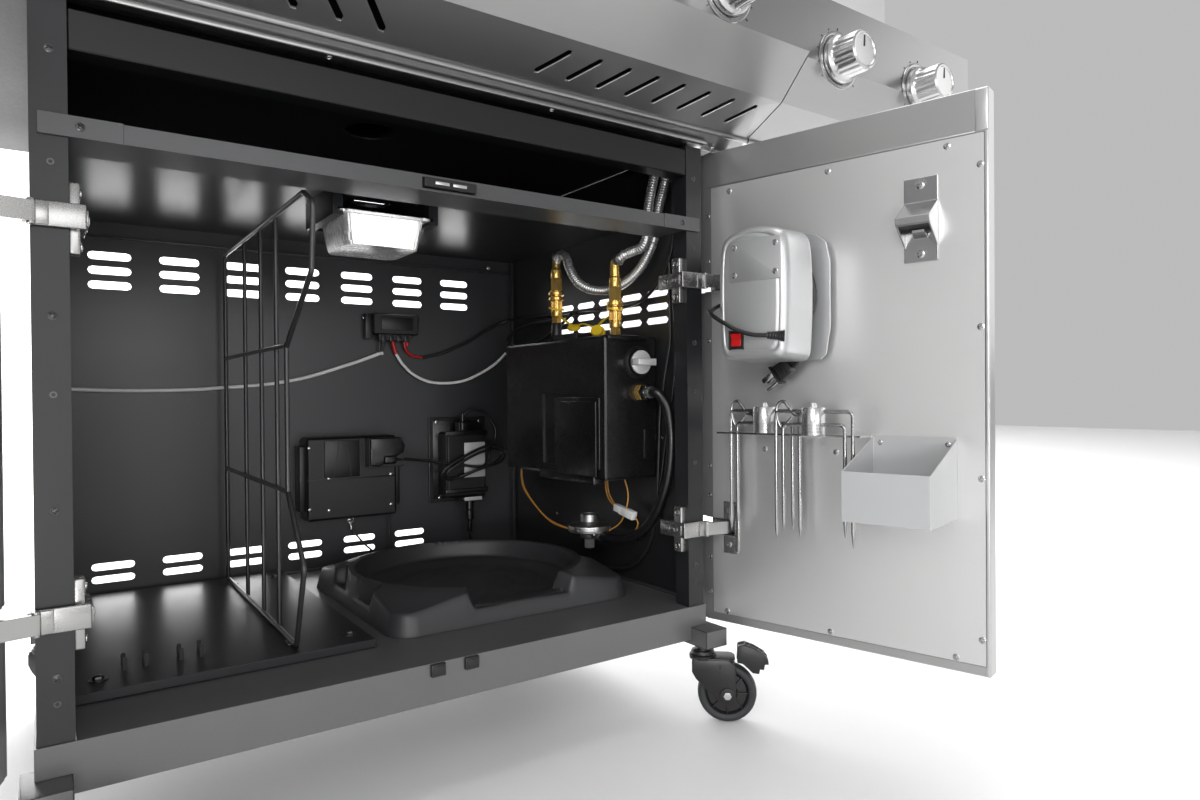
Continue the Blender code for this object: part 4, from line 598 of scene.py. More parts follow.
# cord: lead round the case, then five turns on the spool, then the tail to the plug
lead = catmull([(0.1420, 0.0933, 0.4800), (0.1250, 0.0975, 0.4815), (0.1060, 0.1010, 0.4880), (0.0940, 0.1018, 0.4950), (0.0840, 0.1010, 0.5005), (0.0710, 0.0955, 0.5085),
                (0.0650, 0.0800, 0.5160), (0.0640, 0.0550, 0.5240), (0.0640, 0.0360, 0.5300)], 4)
turns = []
levels = [(0.0375, 0.0480, 0.0248), (0.0375, 0.0480, 0.0194), (0.0375, 0.0480, 0.0138), (0.0428, 0.0535, 0.0165), (0.0428, 0.0535, 0.0219)]
per = 30
ktot = int(round(per * 4.617))
for i in range(ktot + 1):
    lv = i / per
    k0 = min(int(lv), len(levels) - 1)
    f = lv - k0
    nx = levels[min(k0 + 1, len(levels) - 1)]
    cu = levels[k0]
    # stay on the level, then step over in the last quarter turn
    g = 0.0 if f < 0.72 else (f - 0.72) / 0.28
    g = g * g * (3 - 2 * g)
    a_, b_, w_ = (cu[0] + (nx[0] - cu[0]) * g, cu[1] + (nx[1] - cu[1]) * g, cu[2] + (nx[2] - cu[2]) * g)
    if k0 == 0 and f < 0.16:
        h = 1 - f / 0.16
        a_, b_ = a_ + 0.0200 * h * h, b_ + 0.012 * h * h
    t = math.radians(172) - 2 * math.pi * i / per
    turns.append(Vector((UM + a_ * math.cos(t), w_, ZM + b_ * math.sin(t))))
tail = catmull([turns[-1], Vector((UM + 0.0255, 0.0215, 0.4790)), Vector((UM + 0.0240, 0.0195, 0.4670)), Vector((0.1402, 0.0175, 0.4575)), Vector((0.1350, 0.0170, 0.4534))], 5)[1:]
route = [Vector(p) for p in lead] + turns + tail
route = [DR @ p for p in route]
CORD_D = 0.0048
cu = bpy.data.curves.new("power_cord_line", "CURVE")
cu.dimensions = "3D"
sp = cu.splines.new("POLY")
sp.points.add(len(route) - 1)
for i, p in enumerate(route):
    sp.points[i].co = (p.x, p.y, p.z, 1)
cu.bevel_depth = CORD_D / 2
cu.bevel_resolution = 4
cu.use_fill_caps = True
cu.materials.append(M["cord"])
cord = bpy.data.objects.new("power_cord_line", cu)
bpy.context.scene.collection.objects.link(cord)
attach(cord, "rotisserie_motor")
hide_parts("power_cord")
# plug with two blades and an earth pin
PM = Matrix(((-0.8211, 0, 0.5708, 0.1215), (0, 1, 0, 0.0170), (-0.5708, 0, -0.8211, 0.4440), (0, 0, 0, 1)))
bm = bmesh.new()
extr(bm, [(-0.0120, -0.0060), (-0.0090, -0.0088), (0.0098, -0.0104), (0.0098, 0.0104), (-0.0090, 0.0088), (-0.0120, 0.0060)], -0.0072, 0.0072, "xz", 0.0018, 3, PM)
extr(bm, [(0.0096, -0.0122), (0.0122, -0.0122), (0.0122, 0.0122), (0.0096, 0.0122)], -0.0086, 0.0086, "xz", 0.0009, 2, PM)
for k in range(5):
    rbox(bm, -0.0118 - 0.0024 * k, -0.0104 - 0.0024 * k, -0.0046 + 0.0003 * k, 0.0046 - 0.0003 * k, -0.0054 + 0.0004 * k, 0.0054 - 0.0004 * k, 0.0005, 2, PM)
tube(bm, [(-0.0100, 0, 0), (-0.0170, 0, 0), (-0.0215, 0, 0)], 0.0032, 14, PM)
for k in range(4):
    rbox(bm, -0.0060 + 0.0035 * k, -0.0045 + 0.0035 * k, -0.0078, 0.0078, -0.0080, 0.0080, 0.0006, 2, PM)
plug = put("cord_plug_body", bm, "cord", "rotisserie_motor", DR)
bm = bmesh.new()
for w_ in (-0.0048, 0.0048):
    extr(bm, [(0.0118, -0.0062), (0.0270, -0.0062), (0.0290, -0.0050), (0.0290, -0.0010), (0.0270, 0.0002), (0.0118, 0.0002)], w_ - 0.0008, w_ + 0.0008, "xz", 0.0003, 2, PM)
lathe(bm, [(0.0, -0.0008), (0.0016, 0.0), (0.0023, 0.0016), (0.0023, 0.0200), (0.0, 0.0200)], PM @ axis_to((-1, 0, 0), (0.0315, 0, 0.0072)), 20)
prongs = put("cord_plug_prongs", bm, "screw", "rotisserie_motor", DR)

# ---- spit forks as bent round wire, with turned hubs and open-loop thumbscrews
for tag, u, w_ in (("a", 0.0965, 0.0200), ("b", 0.1690, 0.0400)):
    piv = DR @ Matrix.Translation((u, w_, 0.3688)) @ Matrix.Scale(-1, 4, (1, 0, 0))
    bm = bmesh.new()
    lathe(bm, [(0.0060, 0.0), (0.0128, 0.0), (0.0135, 0.0007), (0.0135, 0.0040), (0.0129, 0.0045), (0.0129, 0.0052), (0.0135, 0.0057), (0.0135, 0.0074),
               (0.0129, 0.0079), (0.0129, 0.0086), (0.0135, 0.0091), (0.0135, 0.0108), (0.0129, 0.0113), (0.0129, 0.0120), (0.0135, 0.0125), (0.0135, 0.0306),
               (0.0128, 0.0315), (0.0066, 0.0315), (0.0060, 0.0309), (0.0060, 0.0)], None, 48, cap=False)
    hub = put("fork_hub_" + tag, bm, "satin", "spit_fork_" + tag, piv)
    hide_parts("spit_fork_" + tag)
    bm = bmesh.new()
    for half, bar, low in ((0.0460, 0.0268, -0.1220), (0.0370, 0.0120, -0.1120)):
        for sd in (-1, 1):
            p = bend([(sd * 0.0110, 0, bar), (sd * half, 0, bar), (sd * half, 0, low + 0.016), (sd * half, 0, low)], 0.0060, 6)
            p = p[:-1] + [p[-1] + Vector((0, 0, 0.008)), p[-1]]
            rad = [0.0022] * (len(p) - 2) + [0.0015, 0.0002]
            tube(bm, p, 0.002, 12, radii=rad)
    put("fork_prongs_" + tag, bm, "chrome", "spit_fork_" + tag, piv)
    bm = bmesh.new()
    ring = catmull([(0.0135, 0, 0.0232), (0.0220, 0, 0.0232), (0.0290, 0, 0.0310), (0.0352, 0, 0.0378), (0.0410, 0, 0.0370), (0.0445, 0, 0.0325), (0.0450, 0, 0.0219), (0.0415, 0, 0.0112),
                    (0.0379, 0, 0.0072), (0.0340, 0, 0.0100), (0.0313, 0, 0.0139), (0.0260, 0, 0.0198)], 5)
    tube(bm, ring, 0.0020, 12)
    lathe(bm, [(0.0, -0.002), (0.0034, -0.002), (0.0034, 0.0035), (0.0028, 0.0040), (0.0, 0.0040)], axis_to((1, 0, 0), (0.0125, 0, 0.0225)), 20)
    put("fork_thumbscrew_" + tag, bm, "chrome", "spit_fork_" + tag, piv)
bm = bmesh.new()
tube(bm, [(u, 0.0312, 0.3681) for u in np.linspace(0.0372, 0.2193, 24)], 0.0012, 10)
put("fork_holder_rolled_edge", bm, "chrome", "right_door", DR)
bm = bmesh.new()
for u, z in ((0.0875, 0.3480), (0.1790, 0.3480)):
    screw(bm, (u, 0.0018, z), IN, 0.0034, 0.0012, turn=12 * u)
for z in (0.5640, 0.6375):
    screw(bm, (0.2752, 0.0019, z), IN, 0.0042, 0.0015, turn=5 * z)
for u in (0.2300, 0.3020):
    screw(bm, (u, 0.0012, 0.3610), IN, 0.0028, 0.0010, turn=12 * u)
put("door_bracket_screws", bm, "screw", "right_door", DR)
bm = bmesh.new()
for z in (0.5650, 0.6390):
    lathe(bm, [(0.0030, 0.0), (0.0062, 0.0), (0.0062, 0.0006), (0.0030, 0.0006)], axis_to(IN, (0.2752, 0.0017, z)), 28)
put("opener_washers", bm, "nickel", "right_door", DR)

# ================================================================ cabinet frame: hinge arms, screws, foot blocks
FWD = (0, -1, 0)
for side, s in (("right", 1), ("left", -1)):
    bm, bs = bmesh.new(), bmesh.new()
    for z in (0.246, 0.559):
        a, b = sorted((s * 0.3086, s * 0.3474))
        rbox(bm, a, b, -0.0050, -0.0017, z - 0.0098, z + 0.0098, 0.0011, 3)
        a, b = sorted((s * 0.3086, s * 0.3144))
        rbox(bm, a, b, -0.0045, 0.0426, z - 0.0094, z + 0.0094, 0.0012, 3)
        a, b = sorted((s * 0.3123, s * 0.3210))
        rbox(bm, a, b, 0.0055, 0.0205, z - 0.0285, z + 0.0285, 0.0018, 3)
        a, b = sorted((s * 0.3070, s * 0.3088))
        rbox(bm, a, b, 0.0005, 0.0330, z - 0.0062, z + 0.0062, 0.0006, 2)
        a, b = sorted((s * 0.3330, s * 0.3500))
        rbox(bm, a, b, -0.0066, -0.0045, z - 0.0090, z + 0.0090, 0.0008, 2)
        lathe(bm, [(0.0, -0.0096), (0.0026, -0.0096), (0.0028, -0.0090), (0.0028, 0.0090), (0.0026, 0.0096), (0.0, 0.0096)],
              axis_to((0, 0, 1), (s * 0.3441, -0.008, z)), 18)
        for dz in (-0.0210, 0.0210):
            screw(bs, (s * 0.3122, 0.0130, z + dz), (-s, 0, 0), 0.0042, 0.0016, turn=0.4 + 30 * dz)
        screw(bs, (s * 0.3070, 0.0100, z), (-s, 0, 0), 0.0036, 0.0014, turn=0.9)
        screw(bs, (s * 0.3070, 0.0250, z), (-s, 0, 0), 0.0030, 0.0012, turn=0.2)
    put("hinge_arms_" + side, bm, "nickel", "cart")
    put("hinge_arm_screws_" + side, bs, "screw", "cart")
    bm = bmesh.new()
    for z in (.687, .635, .481, .330, .237, .200):
        if abs(z - 0.246) > 0.02:
            screw(bm, (s * 0.3315, 0.0003, z), FWD, 0.0034, 0.0013, turn=5 * z)
    for z in (.600, .420, .180):
        lathe(bm, [(0.0014, 0.0002), (0.0026, 0.0002), (0.0026, 0.0006), (0.0014, 0.0006)], axis_to(FWD, (s * 0.3315, 0.0003, z)), 16, cap=False)
    put("post_screws_" + side, bm, "screw_dark", "cart")
    bm = bmesh.new()
    for y0, y1 in ((-0.0292, 0.0222), (0.5028, 0.5542)):
        a, b = sorted((s * 0.3218, s * 0.3562))
        rbox(bm, a, b, y0, y1, 0.1018, 0.1237, 0.0018, 3)
        lathe(bm, [(0.0, 0.0975), (0.0100, 0.0975), (0.0105, 0.0990), (0.0105, 0.1019), (0.0, 0.1019)], Matrix.Translation((s * 0.339, y0 + 0.0257, 0)), 24)
    put("foot_blocks_" + side, bm, "block", "cart")
bm = bmesh.new()
screw(bm, (0.3120, -0.0024, 0.6292), FWD, 0.0034, 0.0014, turn=0.3)
screw(bm, (-0.3120, -0.0024, 0.6292), FWD, 0.0034, 0.0014, turn=0.8)
put("rail_bracket_screws", bm, "screw_dark", "cart")
bm = bmesh.new()
for x0, x1 in ((-0.0170, -0.0020), (0.0020, 0.0170)):
    rbox(bm, x0, x1, -0.0064, -0.0050, 0.6274, 0.6306, 0.0004, 2)
put("magnet_catch_poles", bm, "light", "cart")
bm = bmesh.new()
for x in (-0.0180, 0.0190):
    rbox(bm, x - 0.0080, x + 0.0080, -0.0056, -0.0015, 0.1355, 0.1485, 0.0016, 3)
    rbox(bm, x - 0.0060, x + 0.0060, -0.0062, -0.0050, 0.1375, 0.1465, 0.0005, 2)
put("door_bumpers", bm, "plastic", "cart")
# hinge-edge lip of each door closes the sight line past the post
for side, D, m in (("right", DR, "shell"), ("left", DL, "shell_l")):
    bm = bmesh.new()
    for z0, z1 in ((0.1250, 0.2346), (0.2574, 0.5476), (0.5704, 0.7262)):
        rbox(bm, -0.0062, 0.0006, -0.0016, -0.0002, z0, z1, 0.0005, 2)
    put("door_hinge_lip_" + side, bm, m, side + "_door", D)
# wall fixings
bm = bmesh.new()
for x, z in ((-0.300, 0.640), (0.300, 0.640), (-0.3, 0.16), (0.3, 0.16), (0.0, 0.640)):
    screw(bm, (x, 0.4978, z), FWD, 0.0035, 0.0014, turn=4 * x)
for y, z in ((0.3465, 0.2850), (0.3475, 0.2231), (0.0791, 0.3576)):
    screw(bm, (0.3436, y, z), (-1, 0, 0), 0.0026, 0.0010, turn=8 * y)
put("wall_screws", bm, "screw", "cart")
# folded seams of the walls
bm = bmesh.new()
rbox(bm, 0.3385, 0.3440, 0.4860, 0.4982, 0.1500, 0.6510, 0.0012, 2)
rbox(bm, -0.3440, -0.3385, 0.4860, 0.4982, 0.1500, 0.6510, 0.0012, 2)
rbox(bm, -0.3380, 0.3380, 0.4930, 0.4982, 0.1492, 0.1540, 0.0010, 2)
rbox(bm, 0.3400, 0.3440, 0.0260, 0.4860, 0.1492, 0.1540, 0.0010, 2)
rbox(bm, -0.3440, -0.3400, 0.0260, 0.4860, 0.1492, 0.1540, 0.0010, 2)
rbox(bm, -0.3380, 0.3380, 0.4900, 0.4982, 0.6300, 0.6330, 0.0006, 2)
put("wall_seams", bm, "wall", "cart")
# skirt that closes the gap between the walls and the firebox
bm = bmesh.new()
for s in (1, -1):
    a, b = sorted((s * 0.3440, s * 0.3453))
    rbox(bm, a, b, 0.0270, 0.4970, 0.7272, 0.7357, 0.0004, 1)
rbox(bm, -0.3430, 0.3430, 0.4984, 0.4996, 0.7272, 0.7357, 0.0004, 1)
put("firebox_skirt", bm, "fire", "cart")
# raised panel bolts and bent-up tabs
bm = bmesh.new()
for x, y in ((-0.0700, 0.1150), (-0.0700, 0.4500), (-0.3000, 0.1150), (-0.3000, 0.4500)):
    lathe(bm, [(0.0, 0.1582), (0.0078, 0.1582), (0.0078, 0.1592), (0.0, 0.1592)], Matrix.Translation((x, y, 0)), 28)
    lathe(bm, [(0.0, 0.1590), (0.0048, 0.1590), (0.0050, 0.1602), (0.0044, 0.1618), (0.0024, 0.1626), (0.0, 0.1628)], Matrix.Translation((x, y, 0)), 6)
put("raised_panel_bolts", bm, "screw_dark", "cart")
bm = bmesh.new()
for x in (-0.2780, -0.2600, -0.2300, -0.2120):
    for y in (0.1300, 0.1480):
        extr(bm, [(x - 0.0020, 0.1580), (x + 0.0020, 0.1580), (x + 0.0020, 0.1690), (x + 0.0012, 0.1702), (x - 0.0012, 0.1702), (x - 0.0020, 0.1690)], y - 0.0007, y + 0.0007, "xz", 0.0002, 1)
put("raised_panel_tabs", bm, "raised", "cart")

# ---- divider rack as welded round wire
bm = bmesh.new()
RX = -0.1285


def yz(pts, x=RX):
    return [(x, y, z) for y, z in pts]


outer = [(0.4700, 0.1610), (0.4700, 0.6170), (0.0560, 0.6170), (0.0225, 0.6020), (0.0295, 0.5370), (0.1285, 0.4700)]
tube(bm, bend(yz(outer), 0.009, 6), 0.0028, 12)
tube(bm, bend(yz([(0.4700, 0.4715), (0.1285, 0.4715), (0.1285, 0.4700)]), 0.003, 3), 0.0026, 12)
tube(bm, bend(yz([(0.4700, 0.3165), (0.1285, 0.3165), (0.0665, 0.2460), (0.1000, 0.1610), (0.4700, 0.1610)]), 0.009, 6), 0.0028, 12)
tube(bm, yz([(0.1285, 0.4715), (0.1285, 0.3950), (0.1285, 0.3165)]), 0.0026, 12)
for y in (0.1850, 0.2610, 0.3530):
    tube(bm, yz([(y, 0.6170), (y, 0.4700), (y, 0.3000), (y, 0.1610)], RX + 0.0030), 0.0025, 12)
for y in (0.1200, 0.4400):
    rbox(bm, RX - 0.006, RX + 0.006, y - 0.008, y + 0.008, 0.1586, 0.1604, 0.0006, 2)
rack = put("divider_rack_wire", bm, "iron", "cart")
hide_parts("divider_rack")

# ---- moulded cylinder tray, a height field over a closed base
TX0, TX1, TY0, TY1, TCX, TCY = -0.030, 0.300, 0.086, 0.412, 0.135, 0.249


def sm(a, b, x):
    t = min(1.0, max(0.0, (x - a) / (b - a)))
    return t * t * (3 - 2 * t)


def tray_z(x, y):
    # distance inside the rounded outline
    dx = min(x - TX0, TX1 - x)
    dy = min(y - TY0, TY1 - y)
    rc = 0.030
    if dx < rc and dy < rc:
        d = rc - math.hypot(rc - dx, rc - dy)
    else:
        d = min(dx, dy)
    z = 0.1500 + 0.0176 * sm(-0.001, 0.0060, d) - 0.0016 * sm(0.010, 0.016, d)
    r = math.hypot(x - TCX, y - TCY)
    a = math.atan2(y - TCY, x - TCX)
    # four corner bosses slope out and down from the ring
    for ca in (0.785, 2.356, -0.785, -2.356):
        da = abs((a - ca + math.pi) % (2 * math.pi) - math.pi)
        boss = sm(0.400, 0.330, da) * sm(0.0020, 0.0090, d)
        z = max(z, z + (0.1900 - 0.0150 * sm(0.150, 0.215, r) - z) * boss)
    # the ring stands up between them, and is scooped low at the front
    front = abs((a + math.pi / 2 + math.pi) % (2 * math.pi) - math.pi)
    top = 0.1690 + 0.0214 * sm(0.395, 0.520, front)
    ring = sm(0.1600, 0.1555, r) * sm(-0.0002, 0.0030, d)
    z = z + (max(z, top) - z) * ring
    # bowl with a step and shallow flutes
    floor_ = 0.1582 + 0.0075 * sm(0.1080, 0.1400, r) + 0.0300 * sm(0.1405, 0.1500, r)
    z = z + (min(z, floor_) - z) * sm(0.1512, 0.1498, r)
    z -= 0.0008 * sm(0.1000, 0.0970, r) * sm(0.060, 0.064, r) * (0.5 + 0.5 * math.cos(12 * a))
    return max(z, 0.1496)


bm = bmesh.new()
nx, ny = 210, 210
grid = []
for i in range(nx + 1):
    row = []
    for j in range(ny + 1):
        x, y = TX0 + (TX1 - TX0) * i / nx, TY0 + (TY1 - TY0) * j / ny
        # pull the corner points onto the rounded outline
        rc = 0.030
        cx = TX0 + rc if x < TX0 + rc else (TX1 - rc if x > TX1 - rc else None)
        cy = TY0 + rc if y < TY0 + rc else (TY1 - rc if y > TY1 - rc else None)
        if cx is not None and cy is not None:
            vx, vy = x - cx, y - cy
            m_ = max(abs(vx), abs(vy))
            h = math.hypot(vx, vy)
            if h > 1e-9:
                x, y = cx + vx * m_ / h, cy + vy * m_ / h
        row.append(bm.verts.new((x, y, tray_z(x, y))))
    grid.append(row)
for i in range(nx):
    for j in range(ny):
        bm.faces.new((grid[i][j], grid[i + 1][j], grid[i + 1][j + 1], grid[i][j + 1]))
edge = [grid[i][0] for i in range(nx)] + [grid[nx][j] for j in range(ny)] + [grid[i][ny] for i in range(nx, 0, -1)] + [grid[0][j] for j in range(ny, 0, -1)]
low_ = [bm.verts.new((v.co.x, v.co.y, 0.1494)) for v in edge]
m_ = len(edge)
for i in range(m_):
    j = (i + 1) % m_
    bm.faces.new((edge[i], edge[j], low_[j], low_[i]))
bm.faces.new(low_[::-1])
tray = put("cylinder_tray", bm, "tray", "cart", sharp=60)
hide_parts("tank_tray")

# ---- grease cup of pressed foil in its bracket
bm = bmesh.new()
t = bmesh.new()
CXc, CYc = -0.0130, 0.1925


def cup_ring(z, hx, hy, r, wob=0.0, n=14):
    pts = rr_outline(CXc - hx, CXc + hx, CYc - hy, CYc + hy, r, n)
    out = []
    for k, (x, y) in enumerate(pts):
        wv = wob * math.sin(k * 2.1 + z * 900)
        d = Vector((x - CXc, y - CYc, 0)).normalized()
        out.append(t.verts.new((x + d.x * wv, y + d.y * wv, z)))
    return out


sec = [(0.5904, 0.0420, 0.0430, 0.012, 0.0), (0.5902, 0.0425, 0.0440, 0.014, 0.0), (0.5940, 0.0436, 0.0450, 0.014, 0.0004), (0.6030, 0.0450, 0.0465, 0.014, 0.0006),
       (0.6140, 0.0466, 0.0484, 0.014, 0.0006), (0.6230, 0.0478, 0.0500, 0.014, 0.0004), (0.6244, 0.0512, 0.0520, 0.012, 0.0), (0.6236, 0.0540, 0.0530, 0.010, 0.0008),
       (0.6262, 0.0548, 0.0538, 0.010, 0.0010), (0.6272, 0.0530, 0.0528, 0.010, 0.0008), (0.6262, 0.0505, 0.0510, 0.012, 0.0), (0.6250, 0.0474, 0.0494, 0.014, 0.0),
       (0.6140, 0.0460, 0.0478, 0.014, 0.0004), (0.6030, 0.0444, 0.0459, 0.014, 0.0004), (0.5942, 0.0430, 0.0444, 0.014, 0.0003), (0.5912, 0.0418, 0.0430, 0.012, 0.0)]
rings = [cup_ring(*q) for q in sec]
for a, b in zip(rings, rings[1:]):
    m_ = len(a)
    for i in range(m_):
        j = (i + 1) % m_
        t.faces.new((a[i], a[j], b[j], b[i]))
t.faces.new(rings[0][::-1])
t.faces.new(rings[-1])
merge(bm, t)
cup = put("foil_cup", bm, "foil", "grease_cup", sharp=55)
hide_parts("grease_cup")
# the wall facing the opening gets the emissive foil copy: a painted glow for the light on that face
cup.data.materials.append(M["foil_front_painted_glow"])
for p in cup.data.polygons:
    if p.normal.y < -0.75 and p.center.z < 0.6215 + SZ and p.center.y < CYc - 0.035 + SY:
        p.material_index = 1
bm = bmesh.new()
rbox(bm, -0.0752, -0.0738, 0.1395, 0.2505, 0.6198, 0.6525, 0.0005, 2)
rbox(bm, 0.0478, 0.0492, 0.1395, 0.2505, 0.6198, 0.6525, 0.0005, 2)
rbox(bm, -0.0748, 0.0488, 0.1388, 0.1402, 0.6440, 0.6525, 0.0005, 2)
put("cup_bracket_skin", bm, "ceiling", "cart")

# ---- control box, adapter, junction block and their wiring
bm, bs = bmesh.new(), bmesh.new()
extr(bm, [(0.0040, 0.2940), (0.0568, 0.2940), (0.0568, 0.3500), (0.0040, 0.3500)], 0.4598, 0.4624, "xz", 0.0008, 2)
for k in range(2):
    x = 0.0215 + 0.0185 * k
    tube(bm, [(x + (0.003 if k else -0.003) * math.cos(t_), 0.4597, 0.2950 + 0.0540 * t_ / 3.1) for t_ in np.linspace(0, 3.1, 14)], 0.0005, 8)
rbox(bm, -0.0215, 0.1155, 0.4612, 0.4624, 0.2905, 0.2925, 0.0004, 2)
put("control_box_cover", bm, "plastic", "cart")
bm = bmesh.new()
rbox(bm, -0.0300, -0.0210, 0.4700, 0.4955, 0.2450, 0.3420, 0.0010, 2)
rbox(bm, 0.1152, 0.1240, 0.4700, 0.4955, 0.2450, 0.3420, 0.0010, 2)
put("control_box_flange_ribs", bm, "plastic", "cart")
for x, z in ((-0.0175, 0.3400), (-0.0175, 0.2480), (0.0106, 0.2927), (0.1070, 0.2939), (0.1070, 0.2461), (0.0106, 0.2448)):
    screw(bs, (x, 0.4619, z), FWD, 0.0026, 0.0011, turn=9 * x)
for x, z in ((0.1981, 0.3720), (0.2773, 0.3720), (0.2030, 0.2450), (0.2720, 0.2450)):
    screw(bs, (x, 0.4933, z), FWD, 0.0036, 0.0014, turn=9 * x)
for x in (0.0780, 0.1660):
    screw(bs, (x, 0.4952, 0.5420), FWD, 0.0028, 0.0011, turn=9 * x)
put("electrics_screws", bs, "screw", "cart")
bm = bmesh.new()
extr(bm, [(0.0655, 0.3105), (0.0800, 0.3085), (0.1180, 0.3290), (0.1215, 0.3400), (0.1120, 0.3525), (0.0660, 0.3525)], 0.4360, 0.4612, "xz", 0.0020, 3)
rbox(bm, 0.0860, 0.1060, 0.4320, 0.4420, 0.3120, 0.3250, 0.0030, 3)
put("control_box_plug", bm, "gloss", "cart")
bm = bmesh.new()
t_ = catmull([(0.1000, 0.4380, 0.3185), (0.1100, 0.4400, 0.3180), (0.1300, 0.4450, 0.3170), (0.1500, 0.4500, 0.3140), (0.1700, 0.4520, 0.3110), (0.1834, 0.4520, 0.3083),
              (0.2138, 0.4510, 0.3038), (0.2529, 0.4480, 0.2979), (0.2936, 0.4500, 0.3028), (0.3062, 0.4540, 0.3206), (0.2856, 0.4540, 0.3319), (0.2532, 0.4500, 0.3268),
              (0.2216, 0.4460, 0.3140), (0.1946, 0.4460, 0.2996), (0.1869, 0.4500, 0.2860), (0.2058, 0.4520, 0.2794), (0.2330, 0.4460, 0.2883), (0.2731, 0.4440, 0.3003),
              (0.2958, 0.4490, 0.3156), (0.2856, 0.4500, 0.3253), (0.2531, 0.4430, 0.3214), (0.2215, 0.4420, 0.3087), (0.1960, 0.4440, 0.2935), (0.2010, 0.4480, 0.2810),
              (0.2300, 0.4500, 0.2850), (0.2700, 0.4560, 0.3010), (0.2815, 0.4600, 0.3251), (0.2919, 0.4640, 0.3420), (0.2922, 0.4660, 0.3634), (0.2739, 0.4680, 0.3860),
              (0.2498, 0.4700, 0.3926), (0.2358, 0.4710, 0.3813), (0.2350, 0.4720, 0.3700)], 5)
tube(bm, t_, 0.0023, 10)
put("adapter_cable", bm, "cord", "cart")
bm = bmesh.new()
rbox(bm, 0.1905, 0.2815, 0.4925, 0.4938, 0.2440, 0.3745, 0.0008, 2)
for z in (0.2540, 0.3500):
    rbox(bm, 0.1975, 0.2745, 0.4562, 0.4590, z, z + 0.0080, 0.0014, 3)
rbox(bm, 0.2270, 0.2430, 0.4600, 0.4800, 0.3560, 0.3735, 0.0030, 3)
for k in range(5):
    lathe(bm, [(0.0, 0.0), (0.0040, 0.0), (0.0040, 0.0018), (0.0, 0.0018)], Matrix.Translation((0.2350, 0.4720, 0.3735 + 0.0028 * k)), 20)
rbox(bm, 0.2280, 0.2640, 0.4560, 0.4760, 0.2405, 0.2480, 0.0020, 3)
lathe(bm, [(0.0, 0.0), (0.0072, 0.0), (0.0072, -0.0140), (0.0060, -0.0155), (0.0060, -0.0170), (0.0072, -0.0185), (0.0072, -0.0320), (0.0050, -0.0340), (0.0042, -0.0520),
           (0.0, -0.0520)], Matrix.Translation((0.2465, 0.4720, 0.2400)), 28)
put("adapter_details", bm, "gloss", "cart")
bm = bmesh.new()
rbox(bm, 0.2310, 0.2690, 0.4568, 0.4582, 0.2800, 0.3380, 0.0004, 2)
rbox(bm, 0.2300, 0.2620, 0.4552, 0.4562, 0.2412, 0.2472, 0.0003, 2)
put("adapter_blank_tags", bm, "lens", "cart")
bm = bmesh.new()
tube(bm, catmull([(0.2465, 0.4720, 0.1900), (0.2480, 0.4740, 0.1780), (0.2600, 0.4780, 0.1660), (0.2900, 0.4800, 0.1600), (0.3250, 0.4700, 0.1600)], 6), 0.0026, 10)
put("adapter_output_lead", bm, "cord", "cart")
bm = bmesh.new()
lathe(bm, [(0.0022, 0.0), (0.0052, 0.0), (0.0052, 0.0008), (0.0022, 0.0008)], axis_to(FWD, (0.0530, 0.4968, 0.2225)), 28, cap=False)
screw(bm, (0.0530, 0.4962, 0.2225), FWD, 0.0036, 0.0016)
extr(bm, [(0.0500, 0.2190), (0.0556, 0.2190), (0.0545, 0.2130), (0.0515, 0.2130)], 0.4944, 0.4956, "xz", 0.0003, 2)
tube(bm, [(0.0528, 0.4948, 0.2150), (0.0535, 0.4940, 0.2080)], 0.0022, 12)
put("earth_lug", bm, "nickel", "cart")
bm = bmesh.new()
tube(bm, catmull([(0.0535, 0.4940, 0.2090), (0.0591, 0.4900, 0.2000), (0.0709, 0.4860, 0.1847), (0.0846, 0.4840, 0.1710), (0.1000, 0.4840, 0.1600), (0.1300, 0.4850, 0.1545)], 6), 0.0016, 10)
tube(bm, catmull([(0.1130, 0.4850, 0.2420), (0.1135, 0.4860, 0.2200), (0.1135, 0.4870, 0.1900), (0.1140, 0.4850, 0.1600)], 5), 0.0012, 8)
tube(bm, catmull([(0.1725, 0.4925, 0.4796), (0.2087, 0.4900, 0.4884), (0.2324, 0.4880, 0.4989), (0.2566, 0.4870, 0.5099), (0.2900, 0.4850, 0.5300), (0.3200, 0.4780, 0.5450), (0.3360, 0.4500, 0.5500),
                 (0.3370, 0.4000, 0.5480), (0.3370, 0.3368, 0.5463), (0.3370, 0.2500, 0.5453), (0.3370, 0.1831, 0.5407), (0.3370, 0.1219, 0.5440), (0.3370, 0.0838, 0.5606),
                 (0.3370, 0.0609, 0.5837), (0.3370, 0.0475, 0.6117), (0.3350, 0.0420, 0.6600), (0.3330, 0.0400, 0.7200)], 6), 0.0024, 10)
tube(bm, catmull([(0.3300, 0.2800, 0.5409), (0.3290, 0.3179, 0.5236), (0.3290, 0.3647, 0.5076), (0.3290, 0.4215, 0.4965), (0.3290, 0.4700, 0.4955), (0.3290, 0.4860, 0.5080), (0.3290, 0.4663, 0.5252),
                 (0.3300, 0.4063, 0.5356), (0.3310, 0.3307, 0.5367), (0.3330, 0.2700, 0.5429)], 6), 0.0024, 10)
tube(bm, catmull([(0.3380, 0.0551, 0.6000), (0.3385, 0.0551, 0.5260), (0.3385, 0.0556, 0.4832), (0.3385, 0.0672, 0.4376), (0.3385, 0.0768, 0.3913), (0.3385, 0.0796, 0.3475), (0.3385, 0.0824, 0.3035),
                 (0.3385, 0.0876, 0.2472), (0.3380, 0.1093, 0.1996), (0.3370, 0.1500, 0.1700), (0.3350, 0.2300, 0.1580)], 5), 0.0022, 10)
